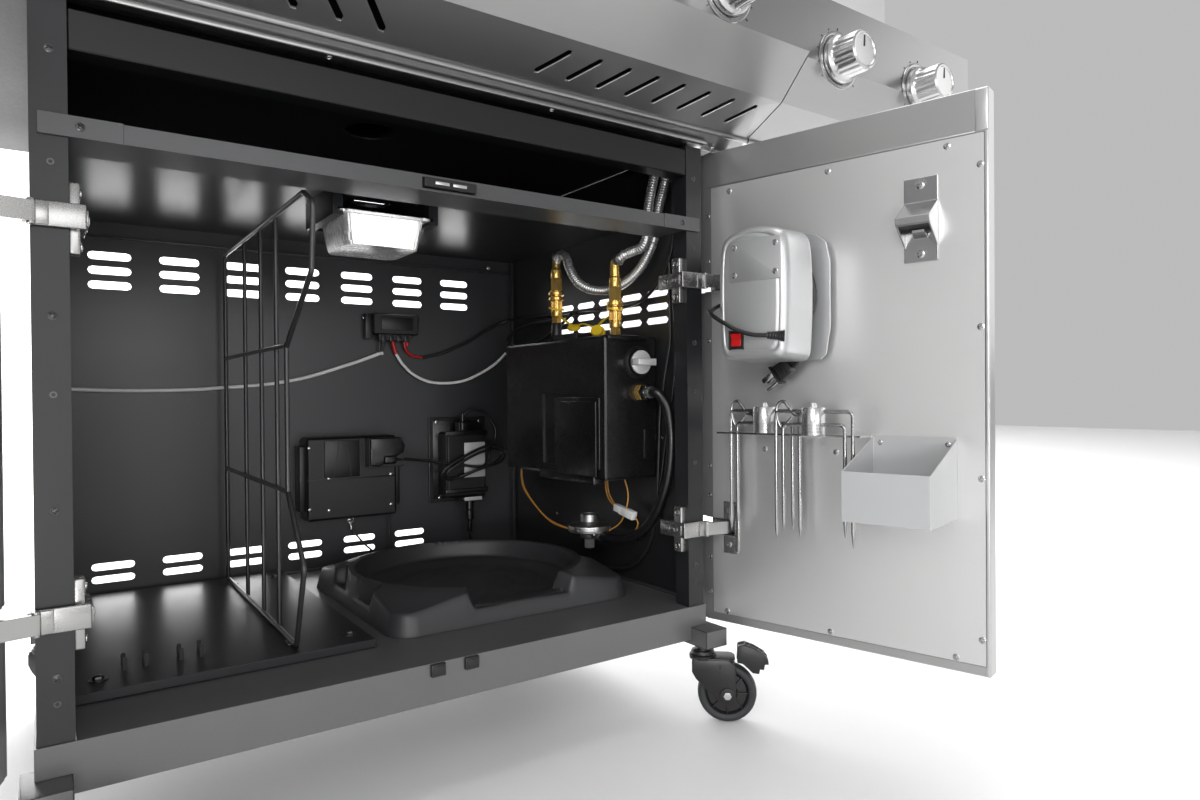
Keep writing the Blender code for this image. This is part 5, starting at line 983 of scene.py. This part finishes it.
tube(bm, catmull([(0.3400, 0.0512, 0.5342), (0.3400, 0.0465, 0.4912), (0.3400, 0.0470, 0.4486), (0.3400, 0.0572, 0.3973), (0.3400, 0.0688, 0.3480), (0.3400, 0.0784, 0.3008), (0.3400, 0.1000, 0.2500),
                 (0.3400, 0.1300, 0.2100)], 5), 0.0018, 10)
put("loom_black", bm, "cord", "cart")
bm = bmesh.new()
tube(bm, catmull([(0.1040, 0.4880, 0.4850), (0.0996, 0.4925, 0.4843), (0.0682, 0.4925, 0.4724), (0.0342, 0.4925, 0.4610), (0.0046, 0.4925, 0.4513), (-0.0220, 0.4925, 0.4439), (-0.0583, 0.4925, 0.4373),
                 (-0.0942, 0.4925, 0.4332), (-0.1288, 0.4925, 0.4310), (-0.1700, 0.4925, 0.4280), (-0.2500, 0.4920, 0.4270), (-0.3350, 0.4900, 0.4300)], 6), 0.0027, 12)
tube(bm, catmull([(0.1278, 0.4925, 0.4860), (0.1385, 0.4915, 0.4693), (0.1568, 0.4910, 0.4519), (0.1830, 0.4905, 0.4402), (0.2139, 0.4905, 0.4377), (0.2457, 0.4905, 0.4415), (0.2743, 0.4900, 0.4528),
                 (0.3037, 0.4880, 0.4700), (0.3250, 0.4840, 0.4900)], 6), 0.0024, 12)
put("wires_white", bm, "white", "cart")
bm = bmesh.new()
tube(bm, catmull([(0.1204, 0.4880, 0.5110), (0.1228, 0.4900, 0.5006), (0.1281, 0.4925, 0.4850)], 6), 0.0031, 12)
tube(bm, catmull([(0.1400, 0.4880, 0.5100), (0.1435, 0.4900, 0.4942), (0.1538, 0.4925, 0.4838), (0.1725, 0.4925, 0.4796)], 6), 0.0022, 12)
tube(bm, catmull([(0.1441, 0.4860, 0.5083), (0.1460, 0.4880, 0.4990)], 4), 0.0030, 12)
put("wires_red", bm, "red", "cart")
bm = bmesh.new()
tube(bm, catmull([(0.1016, 0.4880, 0.5125), (0.1004, 0.4900, 0.5000), (0.1000, 0.4915, 0.4860)], 5), 0.0012, 8)
tube(bm, catmull([(0.1080, 0.4880, 0.5125), (0.1075, 0.4900, 0.5000), (0.1050, 0.4900, 0.4870)], 5), 0.0012, 8)
rbox(bm, 0.0760, 0.0880, 0.4840, 0.4960, 0.5080, 0.5480, 0.0012, 2)
for k in range(4):
    rbox(bm, 0.0995 + 0.0125 * k, 0.1065 + 0.0125 * k, 0.4760, 0.4880, 0.5040, 0.5140, 0.0008, 2)
rbox(bm, 0.0980, 0.1500, 0.4722, 0.4742, 0.5220, 0.5430, 0.0006, 2)
put("junction_terminals", bm, "plastic", "cart")

# ---- selector box details
bm = bmesh.new()
rbox(bm, 0.2506, 0.2534, 0.0950, 0.2050, 0.3180, 0.4130, 0.0012, 3)
rbox(bm, 0.2490, 0.2512, 0.1010, 0.1990, 0.3080, 0.4075, 0.0010, 3)
rbox(bm, 0.2515, 0.2700, 0.1100, 0.2500, 0.2960, 0.3100, 0.0030, 3)
rbox(bm, 0.2560, 0.3200, 0.0800, 0.1850, 0.4880, 0.4945, 0.0030, 3)
rbox(bm, 0.3170, 0.3390, 0.0840, 0.0875, 0.3300, 0.3700, 0.0012, 2)
put("selector_box_ribs", bm, "gloss", "cart")
bm = bmesh.new()
prof = [(0.0, 0.0), (0.0212, 0.0), (0.0212, 0.0030), (0.0196, 0.0052), (0.0180, 0.0052), (0.0178, 0.0020), (0.0, 0.0020)]
lathe(bm, prof, axis_to(FWD, (0.3070, 0.0864, 0.4590)), 48)
for k in range(24):
    a = 2 * math.pi * k / 24
    rbox(bm, -0.0009, 0.0009, 0.0200, 0.0218, 0.0002, 0.0030, 0.0004, 1, axis_to(FWD, (0.3070, 0.0864, 0.4590)) @ Matrix.Rotation(a, 4, "Z"))
put("selector_bezel", bm, "plastic", "cart")
bm = bmesh.new()
half = [(0.0158 * math.cos(math.radians(a)), 0.0158 * math.sin(math.radians(a))) for a in range(15, 166, 10)]
for sg in (1, -1):
    extr(bm, [(0.3070 + x, 0.4590 + sg * z) for x, z in half], 0.0752, 0.0838, "xz", 0.0006, 2)
put_knob = put("selector_knob_faces", bm, "plate", "selector_knob")
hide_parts("selector_knob")
bm = bmesh.new()
lathe(bm, [(0.0, 0.0), (0.0164, 0.0), (0.0164, 0.0060), (0.0150, 0.0072), (0.0, 0.0072)], axis_to(FWD, (0.3070, 0.0842, 0.4590)), 48)
put("selector_knob_core", bm, "plastic", "selector_knob")
bm = bmesh.new()
extr(bm, [(0.2925, 0.4555), (0.3215, 0.4545), (0.3222, 0.4555), (0.3222, 0.4625), (0.3215, 0.4635), (0.2925, 0.4625)], 0.0635, 0.0775, "xz", 0.0012, 3)
put("selector_knob_lever", bm, "plate", "selector_knob")
bm = bmesh.new()
mo = axis_to(FWD, (0.3110, 0.0870, 0.4190))
lathe(bm, [(0.0, 0.0), (0.0108, 0.0), (0.0112, 0.0006), (0.0112, 0.0100), (0.0104, 0.0112), (0.0, 0.0112)], mo, 6)
lathe(bm, [(0.0, 0.0100), (0.0080, 0.0100), (0.0080, 0.0128), (0.0, 0.0128)], mo, 32)
put("selector_outlet_nut", bm, "brass", "cart", sharp=25)
bm = bmesh.new()
lathe(bm, [(0.0104, 0.0), (0.0138, 0.0), (0.0138, 0.0012), (0.0104, 0.0012)], mo, 32, cap=False)
put("selector_outlet_washer", bm, "plastic", "cart")
bm = bmesh.new()
lathe(bm, [(0.0, 0.0125), (0.0084, 0.0125), (0.0088, 0.0132), (0.0088, 0.0190), (0.0078, 0.0200), (0.0, 0.0200)], mo, 6)
put("selector_outlet_swivel", bm, "nickel", "cart", sharp=25)

# ---- gas lines, couplings, regulator and hose


def corrugated(name, path, r, pitch=0.0027, mat="flex"):
    p = catmull(path, 8)
    # even steps along the line, a quarter of a corrugation each
    seg = [0.0]
    for a, b in zip(p, p[1:]):
        seg.append(seg[-1] + (b - a).length)
    n = int(seg[-1] / (pitch / 4))
    out, rad, k = [], [], 0
    for i in range(n + 1):
        d = seg[-1] * i / n
        while k < len(seg) - 2 and seg[k + 1] < d:
            k += 1
        f = (d - seg[k]) / max(1e-9, seg[k + 1] - seg[k])
        out.append(p[k] + (p[k + 1] - p[k]) * f)
        rad.append(r * (0.88, 0.97, 1.0, 0.97)[i % 4])
    bm = bmesh.new()
    tube(bm, out, r, 14, radii=rad)
    return put(name, bm, mat, "cart", sharp=70)


la = corrugated("flex_line_a", [(0.2840, 0.2480, 0.6130), (0.2830, 0.2420, 0.6190), (0.2825, 0.2320, 0.6210), (0.2800, 0.2150, 0.6140), (0.2780, 0.2020, 0.5950), (0.2830, 0.1900, 0.5760),
                                (0.2960, 0.1730, 0.5650), (0.3120, 0.1540, 0.5640), (0.3250, 0.1300, 0.5740), (0.3320, 0.1040, 0.5940), (0.3335, 0.0790, 0.6280), (0.3335, 0.0720, 0.6600),
                                (0.3340, 0.0560, 0.7000), (0.3340, 0.0440, 0.7280)], 0.0068, 0.0034)
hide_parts("gas_line_a")
lb = corrugated("flex_line_b", [(0.3000, 0.1150, 0.6000), (0.3040, 0.1090, 0.6050), (0.3110, 0.1000, 0.6090), (0.3160, 0.0830, 0.6140), (0.3165, 0.0730, 0.6320), (0.3165, 0.0720, 0.6600),
                                (0.3170, 0.0600, 0.7000), (0.3180, 0.0440, 0.7280)], 0.0068, 0.0034)
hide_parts("gas_line_b")
bm = bmesh.new()
bh = bmesh.new()
for x, y, z, e in ((0.2830, 0.2480, 0.5220, 0), (0.3000, 0.1250, 0.4965, 1)):
    T = Matrix.Translation((x, y, z)) @ Matrix.Diagonal((1.12, 1.12, 1.09, 1.0))
    lathe(bm, [(0.0, 0.0), (0.0062, 0.0), (0.0070, 0.0008), (0.0070, 0.0080), (0.0062, 0.0088), (0.0062, 0.0100), (0.0, 0.0100)], T, 6)
    lathe(bm, [(0.0, 0.0098), (0.0068, 0.0098), (0.0072, 0.0106), (0.0072, 0.0170), (0.0066, 0.0176), (0.0066, 0.0184), (0.0072, 0.0190), (0.0074, 0.0300), (0.0068, 0.0308),
               (0.0068, 0.0316), (0.0, 0.0316)], T, 40)
    for k in range(26):
        a = 2 * math.pi * k / 26
        rbox(bm, -0.0004, 0.0004, 0.0070, 0.0078, 0.0195, 0.0295, 0.0002, 1, T @ Matrix.Rotation(a, 4, "Z"))
    lathe(bm, [(0.0, 0.0312), (0.0094, 0.0312), (0.0100, 0.0318), (0.0100, 0.0350), (0.0094, 0.0356), (0.0070, 0.0366), (0.0070, 0.0378), (0.0100, 0.0378), (0.0105, 0.0384),
               (0.0105, 0.0420), (0.0100, 0.0426), (0.0074, 0.0426), (0.0074, 0.0440), (0.0, 0.0440)], T, 40)
    lathe(bm, [(0.0, 0.0436), (0.0076, 0.0436), (0.0082, 0.0444), (0.0082, 0.0600), (0.0074, 0.0612), (0.0, 0.0612)], T, 6)
    lathe(bm, [(0.0, 0.0608), (0.0066, 0.0608), (0.0072, 0.0620), (0.0072, 0.0720), (0.0062, 0.0736), (0.0052, 0.0760), (0.0, 0.0760)], T, 32)
    z += 0.0070
    if e:
        tube(bm, catmull([(x, y, z + 0.0740), (x, y, z + 0.0860), (x, y - 0.0020, z + 0.0930), (x, y - 0.0080, z + 0.0960)], 6), 0.0068, 20)
        lathe(bh, [(0.0, 0.0), (0.0080, 0.0), (0.0084, 0.0008), (0.0084, 0.0070), (0.0078, 0.0080), (0.0, 0.0080)], axis_to((0.05, -1, 0.05), (x, y - 0.0040, z + 0.0955)), 6)
    else:
        tube(bm, catmull([(x, y, z + 0.0740), (x, y, z + 0.0850), (x + 0.001, y, z + 0.0930)], 6), 0.0058, 20)
        lathe(bh, [(0.0, 0.0), (0.0074, 0.0), (0.0078, 0.0008), (0.0078, 0.0070), (0.0070, 0.0080), (0.0, 0.0080)], Matrix.Translation((x + 0.001, y, z + 0.0880)), 6)
put("gas_couplings", bm, "brass", "cart", sharp=28)
bm = bmesh.new()
lathe(bm, [(0.0, 0.4938), (0.0110, 0.4938), (0.0112, 0.4946), (0.0112, 0.4985), (0.0090, 0.5000), (0.0078, 0.5010), (0.0078, 0.5205), (0.0070, 0.5222), (0.0, 0.5222)], Matrix.Translation((0.2830, 0.2480, 0)), 32)
lathe(bm, [(0.0, 0.4938), (0.0125, 0.4938), (0.0127, 0.4946), (0.0125, 0.4962), (0.0, 0.4966)], Matrix.Translation((0.3000, 0.1250, 0)), 32)
put("gas_coupling_sockets", bm, "plastic", "cart", sharp=28)
put("gas_coupling_nuts", bh, "nickel", "cart", sharp=28)
bm = bmesh.new()
for x, y, z in ((0.2830, 0.2480, 0.5440), (0.3000, 0.1250, 0.5340)):
    lathe(bm, [(0.0076, -0.0012), (0.0112, -0.0012), (0.0116, 0.0), (0.0112, 0.0012), (0.0076, 0.0012)], Matrix.Translation((x, y, z)) @ Matrix.Rotation(0.25, 4, "X"), 36, cap=False)
tube(bm, catmull([(0.2830, 0.2400, 0.5330), (0.2810, 0.2250, 0.5260), (0.2830, 0.2100, 0.5180), (0.2860, 0.2000, 0.5150)], 6), 0.0022, 10, flat=(0.5, 1.3))
tube(bm, catmull([(0.3000, 0.1340, 0.5250), (0.2960, 0.1450, 0.5200), (0.2930, 0.1560, 0.5120)], 6), 0.0022, 10, flat=(0.5, 1.3))
tube(bm, catmull([(0.2860, 0.2000, 0.5150), (0.2880, 0.1850, 0.5170), (0.2900, 0.1700, 0.5130), (0.2910, 0.1600, 0.5080)], 6), 0.0022, 10, flat=(0.5, 1.3))
lathe(bm, [(0.0, 0.0), (0.0105, 0.0), (0.0108, 0.0010), (0.0108, 0.0045), (0.0085, 0.0050), (0.0085, 0.0110), (0.0078, 0.0118), (0.0, 0.0118)],
      axis_to((-0.5, -0.4, 0.35), (0.2960, 0.1590, 0.5010)), 36)
lathe(bm, [(0.0, 0.0), (0.0090, 0.0), (0.0092, 0.0010), (0.0092, 0.0040), (0.0070, 0.0048), (0.0, 0.0048)], axis_to((-0.3, -0.3, 0.9), (0.2850, 0.2040, 0.5110)), 36)
put("dust_caps_yellow", bm, "yellow", "cart")
bm = bmesh.new()
RC = (0.2990, 0.1900, 0.2260)
lathe(bm, [(0.0, -0.0150), (0.0110, -0.0150), (0.0125, -0.0130), (0.0135, -0.0090), (0.0210, -0.0065), (0.0290, -0.0050), (0.0305, -0.0040), (0.0308, -0.0020), (0.0300, -0.0012),
           (0.0300, 0.0012), (0.0308, 0.0020), (0.0305, 0.0042), (0.0280, 0.0056), (0.0200, 0.0072), (0.0165, 0.0090), (0.0150, 0.0095), (0.0, 0.0095)], Matrix.Translation(RC), 56)
lathe(bm, [(0.0, 0.0090), (0.0118, 0.0090), (0.0126, 0.0098), (0.0126, 0.0190), (0.0118, 0.0200), (0.0100, 0.0198), (0.0096, 0.0190), (0.0, 0.0190)], Matrix.Translation(RC), 40)
for k in range(6):
    a = 2 * math.pi * k / 6 + 0.3
    rbox(bm, 0.0262, 0.0306, -0.0040, 0.0040, -0.0034, 0.0048, 0.0010, 2, Matrix.Translation(RC) @ Matrix.Rotation(a, 4, "Z"))
lathe(bm, [(0.0, -0.0290), (0.0070, -0.0290), (0.0078, -0.0280), (0.0078, -0.0160), (0.0, -0.0160)], Matrix.Translation(RC), 6)
lathe(bm, [(0.0, 0.0), (0.0088, 0.0), (0.0088, 0.0100), (0.0076, 0.0115), (0.0, 0.0115)], axis_to((0.15, -1, -0.3), (0.2985, 0.1800, 0.2215)), 6)
regu = put("regulator_body", bm, "zinc", "cart", sharp=30)
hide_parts("regulator")
bm = bmesh.new()
hp = catmull([(0.2995, 0.1740, 0.2200), (0.3060, 0.1500, 0.2160), (0.3160, 0.1150, 0.2200), (0.3230, 0.0800, 0.2450), (0.3255, 0.0500, 0.2950), (0.3265, 0.0400, 0.3500),
              (0.3230, 0.0420, 0.3950), (0.3150, 0.0500, 0.4160), (0.3110, 0.0580, 0.4188), (0.3110, 0.0680, 0.4190)], 9)
tube(bm, hp, 0.0066, 18)
put("regulator_hose", bm, "hose", "cart")
bm = bmesh.new()
for P, Q in ((hp[2], hp[0]), (hp[-3], hp[-1])):
    d = (Q - P).normalized()
    lathe(bm, [(0.0064, 0.0), (0.0078, 0.0), (0.0080, 0.0012), (0.0080, 0.0110), (0.0074, 0.0120), (0.0064, 0.0120)], axis_to(d, P - d * 0.006), 28, cap=False)
put("hose_ferrules", bm, "nickel", "cart")
bm = bmesh.new()
for off in (0.0, 0.0022):
    tube(bm, catmull([(0.3000, 0.3722 - off, 0.3100), (0.3000, 0.3884 - off, 0.2952), (0.3000, 0.3804 - 2 * off, 0.2640), (0.3000, 0.3327 - off, 0.2342), (0.2990, 0.2876, 0.2190 + off), (0.2990, 0.2250, 0.2160)], 6), 0.0009, 8)
tube(bm, catmull([(0.3180, 0.1748, 0.3060), (0.3200, 0.1777, 0.2814), (0.3200, 0.1700, 0.2667), (0.3200, 0.1544, 0.2576)], 6), 0.0010, 8)
tube(bm, catmull([(0.3190, 0.1720, 0.3060), (0.3210, 0.1740, 0.2814), (0.3210, 0.1670, 0.2690), (0.3205, 0.1544, 0.2596)], 6), 0.0010, 8)
tube(bm, catmull([(0.3200, 0.1083, 0.2485), (0.3200, 0.1040, 0.2380), (0.3200, 0.1223, 0.2179), (0.3140, 0.1500, 0.2100)], 6), 0.0010, 8)
tube(bm, catmull([(0.3150, 0.1295, 0.3060), (0.3180, 0.1228, 0.2808), (0.3180, 0.1265, 0.2594), (0.3180, 0.1418, 0.2365), (0.3150, 0.1705, 0.2200)], 6), 0.0010, 8)
put("wires_orange", bm, "orange", "cart")
bm = bmesh.new()
d = (Vector((0.3200, 0.1097, 0.2493)) - Vector((0.3200, 0.1544, 0.2576))).normalized()
MX = axis_to(d, (0.3200, 0.1544, 0.2576))
rbox(bm, -0.0040, 0.0040, -0.0050, 0.0050, 0.0, 0.0220, 0.0008, 2, MX)
rbox(bm, -0.0046, 0.0046, -0.0058, 0.0058, 0.0190, 0.0440, 0.0010, 2, MX)
rbox(bm, -0.0020, 0.0020, -0.0070, -0.0050, 0.0100, 0.0300, 0.0006, 2, MX)
rbox(bm, 0.2955, 0.3045, 0.3650, 0.3750, 0.3080, 0.3200, 0.0010, 2)
put("wire_connectors", bm, "white", "cart")

# ================================================================ casters
def fluted(bm, prof, mx, flutes, depth, lo, hi, seg=120):
    """Turned shape whose wall between heights lo and hi is scalloped."""
    t = bmesh.new()
    rings = []
    for r, z in prof:
        if r < 1e-6:
            rings.append([t.verts.new((0, 0, z))])
            continue
        ring = []
        for k in range(seg):
            a = 2 * math.pi * k / seg
            rr = r - (depth * (0.5 + 0.5 * math.cos(flutes * a)) ** 2 if lo <= z <= hi else 0.0)
            ring.append(t.verts.new((rr * math.cos(a), rr * math.sin(a), z)))
        rings.append(ring)
    for a, b in zip(rings, rings[1:]):
        for k in range(seg):
            j = (k + 1) % seg
            u = []
            for v in (a[k % len(a)], a[j % len(a)], b[j % len(b)], b[k % len(b)]):
                if v not in u:
                    u.append(v)
            if len(u) > 2:
                t.faces.new(u)
    merge(bm, t, mx)


for tag, x, y, brk in (("front_right", 0.339, -0.0035, True), ("front_left", -0.339, -0.0035, True),
                       ("rear_right", 0.339, 0.5285, False), ("rear_left", -0.339, 0.5285, False)):
    P = CART @ Matrix.Translation((x, y, 0.005)) @ Matrix.Rotation(math.radians(-42.0), 4, "Z")
    bm = bmesh.new()
    cheek = [(-0.0138, 0.0645), (-0.0138, 0.0780), (-0.0105, 0.0800), (0.0300, 0.0800), (0.0375, 0.0765), (0.0407, 0.0690), (0.0407, 0.0310), (0.0385, 0.0272),
             (0.0215, 0.0268), (0.0165, 0.0302), (0.0040, 0.0425), (-0.0090, 0.0560)]
    for a, b in ((0.0126, 0.0158), (-0.0158, -0.0126)):
        extr(bm, cheek, a, b, "xz", 0.0010, 3)
    extr(bm, [(-0.0130, -0.0154), (0.0330, -0.0154), (0.0380, -0.0120), (0.0400, -0.0060), (0.0400, 0.0060), (0.0380, 0.0120), (0.0330, 0.0154), (-0.0130, 0.0154)],
         0.0768, 0.0818, "xy", 0.0014, 3)
    lathe(bm, [(0.0, 0.0785), (0.0168, 0.0785), (0.0170, 0.0800), (0.0170, 0.0832), (0.0160, 0.0842), (0.0150, 0.0846), (0.0150, 0.0862), (0.0140, 0.0884), (0.0100, 0.0896), (0.0, 0.0896)], None, 40)
    for s_ in (1, -1):
        lathe(bm, [(0.0, 0.0), (0.0085, 0.0), (0.0090, 0.0006), (0.0088, 0.0016), (0.0060, 0.0020), (0.0, 0.0020)], axis_to((0, s_, 0), (0.030, s_ * 0.0157, 0.0365)), 30)
        for k in range(3):
            rbox(bm, 0.0200, 0.0225, s_ * 0.0156, s_ * 0.0166, 0.0560 + 0.0070 * k, 0.0600 + 0.0070 * k, 0.0004, 2)
    f_ = put("caster_housing_" + tag, bm, "caster", "caster_" + tag, P)
    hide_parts("caster_fork_" + tag)
    bm = bmesh.new()
    lathe(bm, [(0.0, 0.0890), (0.0072, 0.0890), (0.0075, 0.0896), (0.0075, 0.0962), (0.0, 0.0962)], None, 24)
    for s_ in (1, -1):
        lathe(bm, [(0.0, 0.0), (0.0052, 0.0), (0.0054, 0.0005), (0.0050, 0.0016), (0.0, 0.0022)], axis_to((0, s_, 0), (0.030, s_ * 0.0174, 0.0365)), 6)
    put("caster_pins_" + tag, bm, "screw", "caster_" + tag, P)
    # wheel: crowned tread, stepped sides, spoked hub
    W = P @ Matrix.Translation((0.030, 0, 0.0365)) @ Matrix.Rotation(math.radians(-90), 4, "X")
    bm = bmesh.new()
    lathe(bm, [(0.0270, -0.0078), (0.0300, -0.0098), (0.0330, -0.0096), (0.0350, -0.0082), (0.0361, -0.0058), (0.0365, -0.0024), (0.0365, 0.0024), (0.0361, 0.0058), (0.0350, 0.0082),
               (0.0330, 0.0096), (0.0300, 0.0098), (0.0270, 0.0078), (0.0270, -0.0078)], None, 64, cap=False)
    for z_ in (-0.0020, 0.0020):
        lathe(bm, [(0.0363, z_ - 0.0004), (0.0367, z_), (0.0363, z_ + 0.0004)], None, 64, cap=False)
    tread = put("wheel_tread_" + tag, bm, "rubber", "wheel_" + tag, W)
    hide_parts("caster_wheel_" + tag)
    bm = bmesh.new()
    lathe(bm, [(0.0038, -0.0104), (0.0085, -0.0104), (0.0100, -0.0096), (0.0110, -0.0070), (0.0130, -0.0050), (0.0240, -0.0046), (0.0262, -0.0070), (0.0273, -0.0080), (0.0276, 0.0),
               (0.0273, 0.0080), (0.0262, 0.0070), (0.0240, 0.0046), (0.0130, 0.0050), (0.0110, 0.0070), (0.0100, 0.0096), (0.0085, 0.0104), (0.0038, 0.0104), (0.0038, -0.0104)], None, 56, cap=False)
    for k in range(8):
        for s_ in (1, -1):
            rbox(bm, 0.0095, 0.0258, -0.0009, 0.0009, s_ * 0.0040, s_ * 0.0074, 0.0005, 2, Matrix.Rotation(2 * math.pi * k / 8, 4, "Z"))
    put("wheel_hub_" + tag, bm, "caster", "wheel_" + tag, W)
    if brk:
        B = P @ Matrix.Translation((0.0455, 0, 0.0790))
        teeth = [(-0.0030, -0.0040), (0.0040, -0.0050), (0.0160, -0.0160), (0.0240, -0.0170), (0.0250, -0.0110), (0.0300, -0.0120), (0.0310, -0.0050), (0.0360, -0.0050), (0.0350, 0.0020),
                 (0.0300, 0.0080), (0.0180, 0.0150), (0.0060, 0.0190), (-0.0020, 0.0170)]
        bm = bmesh.new()
        extr(bm, teeth, -0.0098, -0.0048, "xz", 0.0012, 3)
        extr(bm, teeth, 0.0048, 0.0098, "xz", 0.0012, 3)
        extr(bm, [(a * 0.93 + 0.0008, b * 0.93) for a, b in teeth], -0.0055, 0.0055, "xz", 0.0010, 2)
        for k in range(5):
            t_ = k / 4
            rbox(bm, 0.0070 + 0.0230 * t_ - 0.0010, 0.0070 + 0.0230 * t_ + 0.0010, -0.0088, 0.0088, 0.0178 - 0.0108 * t_ - 0.0010, 0.0192 - 0.0112 * t_, 0.0005, 2)
        lev = put("brake_pedal_" + tag, bm, "plastic", "brake_lever_" + tag, B)
        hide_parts("brake_lever_" + tag)

# ================================================================ head: knobs, bezels, lips, lid
for name, x, y, z in [("burner_knob_%d" % (i + 1), xx, -0.1250, 0.8530) for i, xx in enumerate((-0.2700, -0.0900, 0.0900, 0.2700))] + \
                     [("shelf_knob_%d" % (i + 1), xx, -0.1200, 0.8240) for i, xx in enumerate((0.4620, 0.6300))]:
    T = CART @ axis_to((0, -1, 0), (x, y - 0.0006, z))
    bm = bmesh.new()
    fluted(bm, [(0.0, 0.0004), (0.0282, 0.0004), (0.0290, 0.0012), (0.0292, 0.0050), (0.0285, 0.0078), (0.0262, 0.0092), (0.0246, 0.0110), (0.0243, 0.0140), (0.0238, 0.0360),
                (0.0228, 0.0384), (0.0206, 0.0398), (0.0190, 0.0396), (0.0180, 0.0384), (0.0, 0.0378)], T, 18, 0.0013, 0.0135, 0.0362)
    k_ = put(name + "_grip", bm, "satin", name, Matrix.Identity(4), 30)
    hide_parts(name)
    bm = bmesh.new()
    rbox(bm, -0.0011, 0.0011, 0.0040, 0.0172, 0.0376, 0.0388, 0.0004, 2, T)
    rbox(bm, -0.0009, 0.0009, 0.0226, 0.0244, 0.0150, 0.0350, 0.0004, 2, T)
    put(name + "_pointer", bm, "mark", name, Matrix.Identity(4))
    bm = bmesh.new()
    lathe(bm, [(0.0060, -0.0006), (0.0345, -0.0006), (0.0352, 0.0000), (0.0346, 0.0012), (0.0318, 0.0018), (0.0300, 0.0010), (0.0296, 0.0001), (0.0060, 0.0001)], T, 72, cap=False)
    put(name + "_bezel", bm, "chrome", "cart", Matrix.Identity(4))
    bm = bmesh.new()
    for k in range(11):
        a = math.radians(-130 + 26 * k)
        rbox(bm, -0.0005, 0.0005, 0.0368, 0.0388 + 0.0010 * (k % 5 == 0), -0.0007, 0.0001, 0.0002, 1, T @ Matrix.Rotation(-a, 4, "Z"))
    put(name + "_dial_ticks", bm, "mark", "cart", Matrix.Identity(4))
bm = bmesh.new()
tube(bm, [(x, -0.0206, 0.7424) for x in np.linspace(-0.4045, 0.4045, 60)], 0.0034, 16)
rbox(bm, -0.3450, 0.3450, -0.0120, -0.0003, 0.7292, 0.7345, 0.0014, 3)
put("control_panel_lip", bm, "head_x", "cart")
bm = bmesh.new()
for s in (1, -1):
    a, b = sorted((s * 0.4066, s * 0.7540))
    tube(bm, [(x, -0.0206, 0.7424) for x in np.linspace(a, b, 40)], 0.0034, 16)
    a, b = sorted((s * 0.4051, s * 0.4062))
    rbox(bm, a, b, -0.1190, -0.0220, 0.8160, 0.8940, 0.0003, 1)
put("side_shelf_lips", bm, "head_x", "cart")
bm = bmesh.new()
for s in (1, -1):
    for x in (0.4700, 0.6900):
        for y in (0.0200, 0.4620):
            screw(bm, (s * x, y, 0.7569), (0, 0, -1), 0.0040, 0.0014, turn=5 * x + y)
    for x in (0.3600, 0.1200):
        screw(bm, (s * x, -0.0045, 0.7291), (0, 0, -1), 0.0030, 0.0012, turn=9 * x)
put("head_screws", bm, "screw", "cart")


def chaikin(p, n):
    for _ in range(n):
        q = [p[0]]
        for a, b in zip(p, p[1:]):
            q.append((a[0] * 0.75 + b[0] * 0.25, a[1] * 0.75 + b[1] * 0.25))
            q.append((a[0] * 0.25 + b[0] * 0.75, a[1] * 0.25 + b[1] * 0.75))
        q.append(p[-1])
        p = q
    return p


hood = chaikin([(0.0120, 0.9062), (0.0060, 0.9600), (0.0180, 1.0250), (0.0500, 1.0800), (0.1100, 1.1280), (0.2000, 1.1580), (0.3100, 1.1680), (0.4100, 1.1560), (0.4800, 1.1200),
                (0.5140, 1.0600), (0.5220, 0.9900), (0.5220, 0.9062)], 3)
inner = []
for i, q in enumerate(hood):
    a, b = hood[max(0, i - 1)], hood[min(len(hood) - 1, i + 1)]
    d = Vector((b[0] - a[0], b[1] - a[1])).normalized()
    inner.append((q[0] + d.y * 0.0016, q[1] - d.x * 0.0016))
bm = bmesh.new()
extr(bm, hood + inner[::-1], -0.3866, 0.3866, "yz", 0.0, 1)
hd = put("lid_skin", bm, "head_x", "lid", sharp=30)
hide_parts("lid")
bm = bmesh.new()
for s in (1, -1):
    a, b = sorted((s * 0.3862, s * 0.3880))
    extr(bm, hood, a, b, "yz", 0.0005, 2)
put("lid_end_plates", bm, "head_y", "lid", sharp=30)
bm = bmesh.new()
for s in (1, -1):
    tube(bm, [(s * 0.3872, y, z) for y, z in hood], 0.0024, 10)
rbox(bm, -0.3850, 0.3850, 0.0085, 0.0112, 0.9064, 0.9130, 0.0010, 2)
put("lid_rolled_rims", bm, "chrome", "lid")
bm = bmesh.new()
hb = Matrix.Translation((0, -0.0400, 0.9900)) @ Matrix.Rotation(math.radians(90), 4, "Y")
lathe(bm, [(0.0, -0.3000), (0.0100, -0.3000), (0.0108, -0.2990), (0.0110, -0.2970), (0.0110, -0.2900), (0.0104, -0.2890), (0.0104, -0.2870), (0.0110, -0.2860), (0.0110, 0.2860), (0.0104, 0.2870),
           (0.0104, 0.2890), (0.0110, 0.2900), (0.0110, 0.2970), (0.0108, 0.2990), (0.0100, 0.3000), (0.0, 0.3000)], hb, 44)
put("lid_handle", bm, "satin", "lid")
bm = bmesh.new()
for x in (-0.27, 0.27):
    lathe(bm, [(0.0, 0.0), (0.0150, 0.0), (0.0155, 0.0010), (0.0150, 0.0030), (0.0095, 0.0060), (0.0085, 0.0100), (0.0085, 0.0420), (0.0100, 0.0440), (0.0, 0.0440)],
          axis_to((0, -1, 0), (x, 0.0060, 0.9900)), 36)
put("lid_handle_posts", bm, "chrome", "lid")
